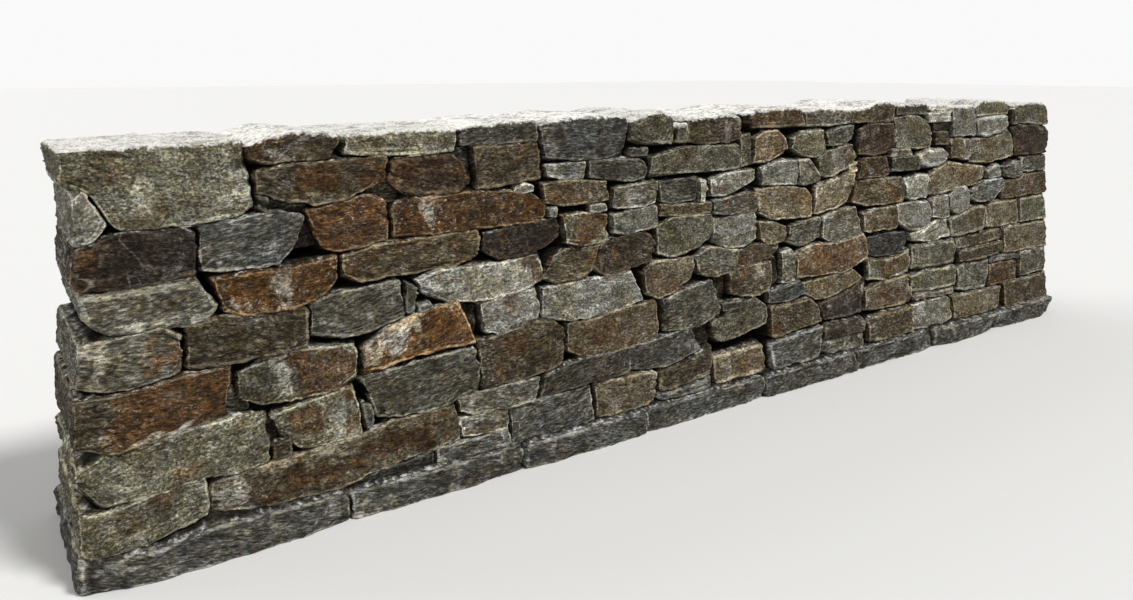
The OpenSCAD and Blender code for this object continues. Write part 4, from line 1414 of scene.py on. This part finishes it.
def bed_of(course, sway, seed):
    if course == 1:
        return swaying_bed(BEDS[0] + OVER_FOOTING, 0.0, seed)
    return swaying_bed(BEDS[course - 1], sway, seed)


lower_count = 0
for part, (course, start, end, closes_up) in enumerate(LOWER_ROWS, 1):
    places = [u for u in joints_of(course, "face") if start <= u <= end]
    bed_seed = LOWER_BED_SEED + course
    bed = bed_of(course, FACE_SWAY, bed_seed)
    ceiling = under_measured if closes_up else swaying_bed(BEDS[course], FACE_SWAY, bed_seed + 1)
    stones = row_of_stones(LOWER_SEED + part, places, bed, ceiling, "face", LOWER_STEP)
    lower_count += len(stones)
    put_stones(f"lower_stones_{course}_{part}", stones, [f"face_course_{course}"])
print("stones at the lower right:", lower_count)

# %% [markdown]
# The right end is long and short work. A stone that is short on the face runs through the wall, and in
# the courses between them two long stones lie side by side, one for the face and one for the back. The
# upright corners are knocked off, and no two courses end quite alike. The topmost stone was measured,
# and the ones below it repeat its kind.

# %% Right end
RIGHT_END = {
    1: ("brown", 0.15, (0.2, 0.1), (0.1, 0.1), "394.5,8.4 435.6,8.4", "394.5,20.3 435.4,20.4"),
    2: ("grey", 0.15, (0.1, 0.2), (0.1, 0.1), "409,21.4 434.6,21.4", "409,33.4 434.9,33.3"),
    3: ("buff", 0.0, (0.1, 0.3), (0.0, 0.1), "394.5,34.6 435.8,34.3", "394.5,46.9 435.8,47"),
    4: ("olive", 0.05, (0.1, 0.1), (0.1, 0.1), "409,48.2 434.8,48", "409,59.8 434.2,60"),
    5: ("brown", 0.2, (0.3, 0.2), (0.0, 0.1), "394.5,61 435.7,61", "394.5,69.3 409,69.8 411,71.4 435.2,71.4"),
    6: ("grey", 0.15, (0.1, 0.1), (0.1, 0.1), "410.3,72.6 434.4,72.4", "410,79.8 434.8,79.9"),
    7: (
        "plum", 0.25, (0.25, 0.15), (0.05, 0.1),
        "405,81.5 420,81 435.6,81.2",
        "403,94.3 409,95.6 425,95.4 435.5,93.8",
    ),
}
# The stone beside it in the back: its finish and how deep it is
END_BESIDE = {1: ("olive", 21.0), 3: ("slate", 27.0), 5: ("russet", 23.5)}
GAP_BETWEEN = 1.2
RIGHT_SEED, BESIDE_SEED = 8000, 8100
for course, (finish, tone, rust, pale, bottom, top) in RIGHT_END.items():
    common = dict(rust=rust, pale=pale, step=0.95, grow=0.14, rounding=1.1, chips=9)
    right = dict(common, open_sides="R", knocked="r")
    if course in END_BESIDE:
        beside_finish, beside_depth = END_BESIDE[course]
        middle_z = (BEDS[course - 1] + BEDS[course]) / 2
        right["depth"] = float(back_y(middle_z) - face_y(middle_z)) - beside_depth - GAP_BETWEEN
    else:
        right["side"] = "through"
    stones = [make_stone(RIGHT_SEED + course, bottom, top, finish, tone, **right)]
    if course in END_BESIDE:
        low_z, high_z = line(bottom)[0, 1], line(top)[-1, 1]
        inner = RIGHT_END_LENGTH[course] - 0.6
        stone = make_stone(
            BESIDE_SEED + course,
            f"0.7,{low_z} {inner},{low_z}",
            f"0.4,{high_z} {inner},{high_z - 0.4}",
            beside_finish,
            tone - 0.05,
            side="back",
            open_sides="L",
            knocked="l",
            depth=beside_depth,
            **common,
        )
        stones.append(stone)
    put_stones(f"end_stone_right_{course}", stones, [f"right_quoin_{course}"])
print("right end courses:", len(RIGHT_END))

# %% [markdown]
# Along the top lies the capping. The stones reach from the face to the back, and their upper sides are
# rough and painted almost white as painted sunlight. The large corner block at the left is two courses
# high. One cap has split into thin plates, which are built as plates.

# %% Corner block and caps
BLOCK_SEED, CAP_SEED, PLATE_SEED, END_CAP_SEED = 9001, 9100, 9200, 9300
CAP = {"side": "through", "open_sides": "T", "step": 0.85, "back_bottom": 98.7}
END_CAP = dict(CAP, open_sides="TR", back_bottom=None, knocked="r")
CAPS = [
    (
        "cap_1", "brown", -0.05, (0.8, 0.0), (0.3, 0.1), "43.5,100.5 48,98.9 65,99.5",
        "42.5,103.3 47,104.7 55,106.7 67.6,105.3",
    ),
    (
        "cap_2", "olive", 0.38, (0.0, 0.05), (0.1, 0.2), "68.8,100.5 80,99.5 95,99.2 102.5,99.8",
        "69.3,105 85,105.7 103,105.6",
    ),
    (
        "cap_3", "grey", -0.3, (0.0, 0.15), (0.1, 0.0), "104,101 115,100.9 130.8,101.1",
        "104.2,105 110,106 120,107 130.8,107",
    ),
    (
        "cap_4", "slate", -0.1, (0.0, 0.0), (0.15, 0.1), "133.2,95.5 140,94.4 155,93.9 165,94.6",
        "131.8,106 145,107.5 160,107.5 166.5,107",
    ),
    (
        "cap_5", "olive", -0.2, (0.15, 0.15), (0.05, 0.0), "168,100 172,98.2 186,97.7",
        "167.5,105.5 173,107 181,108.6 186.3,106.5",
    ),
    ("cap_6", "grey", 0.15, (0.0, 0.0), (0.2, 0.2), "187.4,98 192.2,97.6", "188.3,103 192.6,104"),
    (
        "cap_6", "brown", 0.05, (0.1, 0.1), (0.2, 0.2), "193,98 200,96.8 213,96.7 219,99",
        "193.6,105 203,106 213,106.7 219.3,105",
    ),
    # Painted shade: this small stone is painted near black for the shade in the corner beside cap 7.
    ("cap_7", "brown", -0.86, (0.1, 0.1), (0.0, 0.1), "219.8,103.6 225.8,102.6", "219.8,106.2 225.8,107"),
    (
        "cap_7", "brown", 0.28, (0.5, 0.4), (0.0, 0.05), "226.2,101.6 240,101.4 253.2,101.5",
        "221.6,106 228,107.5 240,108 253.2,107.5",
    ),
    (
        "cap_8", "grey", 0.3, (0.0, 0.0), (0.2, 0.15), "254.3,101 265,100.8 282.3,101.3",
        "254.3,106 262,107 275,106.8 282.3,105.5",
    ),
    (
        "cap_9", "brown", 0.38, (0.15, 0.1), (0.1, 0.0), "283.4,101.5 300,101 310.6,101.2",
        "283.4,106 292,107 298,108.5 305,109 310.6,107.5",
    ),
    (
        "cap_10", "olive", -0.55, (0.1, 0.0), (0.0, 0.15), "311.8,103.8 325,104 334,103.5",
        "312,107 322,107.8 334,107.5",
    ),
    ("cap_12", "pale", -0.33, (0.05, 0.05), (0.15, 0.1), "352.7,93 371,92.6", "353.2,105.5 370.6,105.5"),
    (
        "cap_13", "olive", 0.2, (0.1, 0.2), (0.05, 0.0), "371.8,101.2 385,101.9 400,101.7",
        "371.6,105 376,107.8 385,107.8 395,107.7 400.4,105",
    ),
    ("cap_13", "plum", 0.05, (0.1, 0.1), (0.0, 0.0), "401,97.5 404,97.5", "401.5,103.6 404,103.8"),
]
PLATE = dict(CAP, back_bottom=None, chips=3, rough=0.5, layers=0.3)
PLATES = [
    ("335,100 351.6,99.8", "335,101.6 351.6,101.4", 0.1, ""),
    ("334.7,102 350.8,101.8", "334.7,103.4 350.8,103.2", 0.2, ""),
    ("336.2,103.8 351.8,103.6", "336.2,105 351.8,104.9", 0.0, ""),
    ("334.8,105.4 349.4,105.3", "335.2,106.6 348.6,106.6", 0.25, "T"),
]
block = make_stone(
    BLOCK_SEED,
    "1.2,97.5 5.2,95.8 7.4,94.4 11.3,87 13.6,85.4 30,85.1 41,85.8 43.8,88.5",
    "1.2,104 20,104.5 41.3,104.8",
    "olive",
    0.3,
    rust=(0.05, 0.0),
    pale=(0.2, 0.15),
    zones=[
        (0, 0.43, 0, 0.8, 0.12, 0.1, 0.0),
        (0.41, 0.46, 0.1, 0.75, 0.6, 0.0, 0.6),
        (0.9, 1, 0, 1, 0.4, 0.0, 0.4),
    ],
    side="through",
    open_sides="LT",
    step=0.9,
    layers=0.8,
    chips=7,
    rough=1.2,
)
put_stones("corner_block_stone", [block], ["corner_block"])
caps = {}
for number, (node, finish, tone, rust, pale, bottom, top) in enumerate(CAPS):
    stone = make_stone(CAP_SEED + number, bottom, top, finish, tone, rust, pale, **CAP)
    caps.setdefault(node, []).append(stone)
for number, (bottom, top, tone, open_sides) in enumerate(PLATES):
    kind = dict(PLATE, open_sides=open_sides)
    plate = make_stone(PLATE_SEED + number, bottom, top, "pale", tone, rust=(0, 0), pale=(0.4, 0.3), **kind)
    caps.setdefault("cap_11", []).append(plate)
caps["cap_14"] = [
    make_stone(
        END_CAP_SEED,
        "405,96.8 415,97 436,95.4",
        "405.2,105 415,105.8 432,105.3 436,103",
        "olive",
        0.0,
        rust=(0.15, 0.1),
        pale=(0.05, 0.1),
        **END_CAP,
    )
]
for node, stones in caps.items():
    put_stones(node + "_stone", stones, [node])
print("cap stones:", 1 + sum(map(len, caps.values())))

# %% [markdown]
# The back of the wall isn't seen from the front. It repeats the face in a plainer way: the same seven
# beds and the same stone, with a coarser mesh, two objects to a course.

# %% Back of the wall
BACK_STEP = 1.1
BACK_SEED, BACK_BED_SEED = 600, 90
for course in range(1, 8):
    places = joints_of(course, "back")
    half = len(places) // 2 + (course % 2)
    bed_seed = BACK_BED_SEED + course
    bed = bed_of(course, BACK_SWAY, bed_seed)
    ceiling = swaying_bed(BEDS[course], 0.0 if course == 7 else BACK_SWAY, bed_seed + 1)
    for part, stretch_of_row in enumerate((places[: half + 1], places[half:]), 1):
        seed = BACK_SEED + 10 * course + part
        stones = row_of_stones(seed, stretch_of_row, bed, ceiling, "back", BACK_STEP)
        put_stones(f"back_stones_{course}_{part}", stones, [f"back_course_{course}"])
print("back rows:", course)

# %% [markdown]
# The wall stands on thin slabs of a blue-grey stone that stick out a little in front and behind. They
# run through under both faces. The one at the left was seen and keeps its sloping upper edge. A slab
# starts with the thickness of the wall and is widened to that of the footing. Its underside is level.

# %% Footing slabs
FOOTING_OUT = 3.5
SLAB_SEED = 9500
FIRST_TOP = "0.3,7.4 8,6.9 18,7.4 30,9.2 45,8.9 65.5,8"
# From where to where each slab lies, and how far it stays behind the line of the footing
SLABS = [
    (0.3, 65.5, 0.6),
    (66.3, 121.0, 1.3),
    (121.8, 170.0, 0.8),
    (170.8, 227.0, 1.7),
    (227.8, 281.0, 0.7),
    (281.8, 334.0, 1.4),
    (334.8, 384.0, 0.6),
    (384.8, 435.7, 1.0),
]
for number, (a, b, set_back) in enumerate(SLABS, 1):
    slab = make_stone(
        SLAB_SEED + number,
        f"{a},0 {b},0",
        FIRST_TOP if number == 1 else f"{a},7.7 {(a + b) / 2},8 {b},7.8",
        "slate",
        0.1 if number % 2 else 0.0,
        rust=(0.0, 0.05),
        pale=(0.15, 0.1),
        side="through",
        open_sides={1: "L", 8: "R"}.get(number, ""),
        step=1.1,
        rough=1.2,
        layers=1.6,
        chips=12,
        rounding=1.0,
    )
    spot = slab["points"]
    spot[:, 1] *= (BASE_HALF + FOOTING_OUT - set_back) / BASE_HALF
    spot[:, 2] = np.maximum(spot[:, 2], 0.0)
    node = "footing_left" if number <= 4 else "footing_right"
    put_stones(f"footing_slab_{number}", [slab], [node])
print("footing slabs:", len(SLABS))

# %% [markdown]
# Between the two faces lies the hearting, a fill of rubble and dirt. Only glimpses of it show, deep in
# the joints, so its solid stays as it is and gets a dark, lumpy material.

# %% Hearting
rubble = bpy.data.materials.new("hearting_rubble")
rubble.use_nodes = True
tree = rubble.node_tree
shader = tree.nodes["Principled BSDF"]
place = put(tree, "ShaderNodeTexCoord").outputs["Object"]
stones_in_fill = put(tree, "ShaderNodeTexVoronoi", Vector=place, Scale=18.0).outputs["Distance"]
tint = blend(tree, stones_in_fill, colour(44, 38, 31), colour(26, 22, 18))
tint = blend(tree, noise(tree, place, 60.0, 5.0, 0.5), tint, colour(34, 30, 25))
tree.links.new(tint, shader.inputs["Base Color"])
shader.inputs["Roughness"].default_value = 0.95
fill_bump = put(tree, "ShaderNodeBump", Height=stones_in_fill, Distance=0.02, Strength=0.8)
tree.links.new(fill_bump.outputs[0], shader.inputs["Normal"])
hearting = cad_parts["hearting"]
hearting.data.materials.clear()
hearting.data.materials.append(rubble)

# %% [markdown]
# The wall is lit plainly, so that a colour renders about as it is written: an even sky from all sides
# and one large soft lamp, high up and a little to the right, so that the upper sides catch the light
# and the left sides of the stones fall into shade. A weak lamp behind keeps the back from going dark.
# The camera sees the sky a little brighter than it lights. The floor is a pale sheet, kept apart from
# the wall's body.

# %% Floor and light
SKY_LIGHT, SKY_SEEN_MORE = 0.4, 0.55
FLOOR_REACH = 60.0
# Title, energy, angle of its softness in degrees, and where it shines from
LAMPS = [
    ("main_lamp", 2.7, 14, (0.35, -0.65, 1.0)),
    ("back_lamp", 1.3, 60, (-0.6, 1.0, 0.45)),
]
world = bpy.data.worlds.new("plain_sky")
bpy.context.scene.world = world
world.use_nodes = True
sky = world.node_tree
back_light = sky.nodes["Background"]
back_light.inputs["Color"].default_value = (1, 1, 1, 1)
seen = put(sky, "ShaderNodeLightPath").outputs["Is Camera Ray"]
sky.links.new(times_add(sky, seen, SKY_SEEN_MORE, SKY_LIGHT), back_light.inputs["Strength"])

floor_mesh = bpy.data.meshes.new("floor")
floor_corners = [(x * FLOOR_REACH, y * FLOOR_REACH, 0) for x, y in ((-1, -1), (1, -1), (1, 1), (-1, 1))]
floor_mesh.from_pydata(floor_corners, [], [(0, 1, 2, 3)])
floor = bpy.data.objects.new("floor", floor_mesh)
bpy.context.scene.collection.objects.link(floor)
paint = bpy.data.materials.new("floor_sheet")
paint.use_nodes = True
paint_shader = paint.node_tree.nodes["Principled BSDF"]
paint_shader.inputs["Base Color"].default_value = (0.74, 0.735, 0.72, 1)
paint_shader.inputs["Roughness"].default_value = 0.9
floor_mesh.materials.append(paint)

for title, energy, softness, toward in LAMPS:
    sun = bpy.data.objects.new(title, bpy.data.lights.new(title, "SUN"))
    sun.data.energy = energy
    sun.data.angle = math.radians(softness)
    sun.rotation_euler = Vector(toward).to_track_quat("Z", "Y").to_euler()
    bpy.context.scene.collection.objects.link(sun)
print("lamps:", len(LAMPS), "and an even sky of", SKY_LIGHT)

# %% [markdown]
# The camera stands a little left of the wall at eye height and looks along it to the right. Its frame
# is 1133 by 600, and the shift puts the wall where it is in the frame.

# %% Camera
EYE = Vector((-2.3555, -2.5118, 1.2314))
HEADING = 34.488
PITCH = -5.5
FOCAL_PIXELS = 890.0
FRAME_WIDTH, FRAME_HEIGHT = 1133.0, 600.0
HORIZON_POINT_Y = 153.7
SENSOR_WIDTH = 36.0
camera = bpy.data.objects.new("camera", bpy.data.cameras.new("camera"))
camera.data.sensor_width = SENSOR_WIDTH
camera.data.lens = FOCAL_PIXELS / FRAME_WIDTH * SENSOR_WIDTH
camera.data.shift_y = (HORIZON_POINT_Y - FRAME_HEIGHT / 2) / FRAME_WIDTH
camera.location = EYE
camera.rotation_euler = (math.radians(90 + PITCH), 0, math.radians(-HEADING))
bpy.context.scene.collection.objects.link(camera)
bpy.context.scene.camera = camera
bpy.context.scene.view_settings.view_transform = "Standard"
print("lens:", round(camera.data.lens, 1), "mm, shift:", round(camera.data.shift_y, 4))

# %% [markdown]
# Last, the number of stones and triangles is printed.

# %% Measures
print("stones:", made["stones"], "triangles:", made["triangles"])
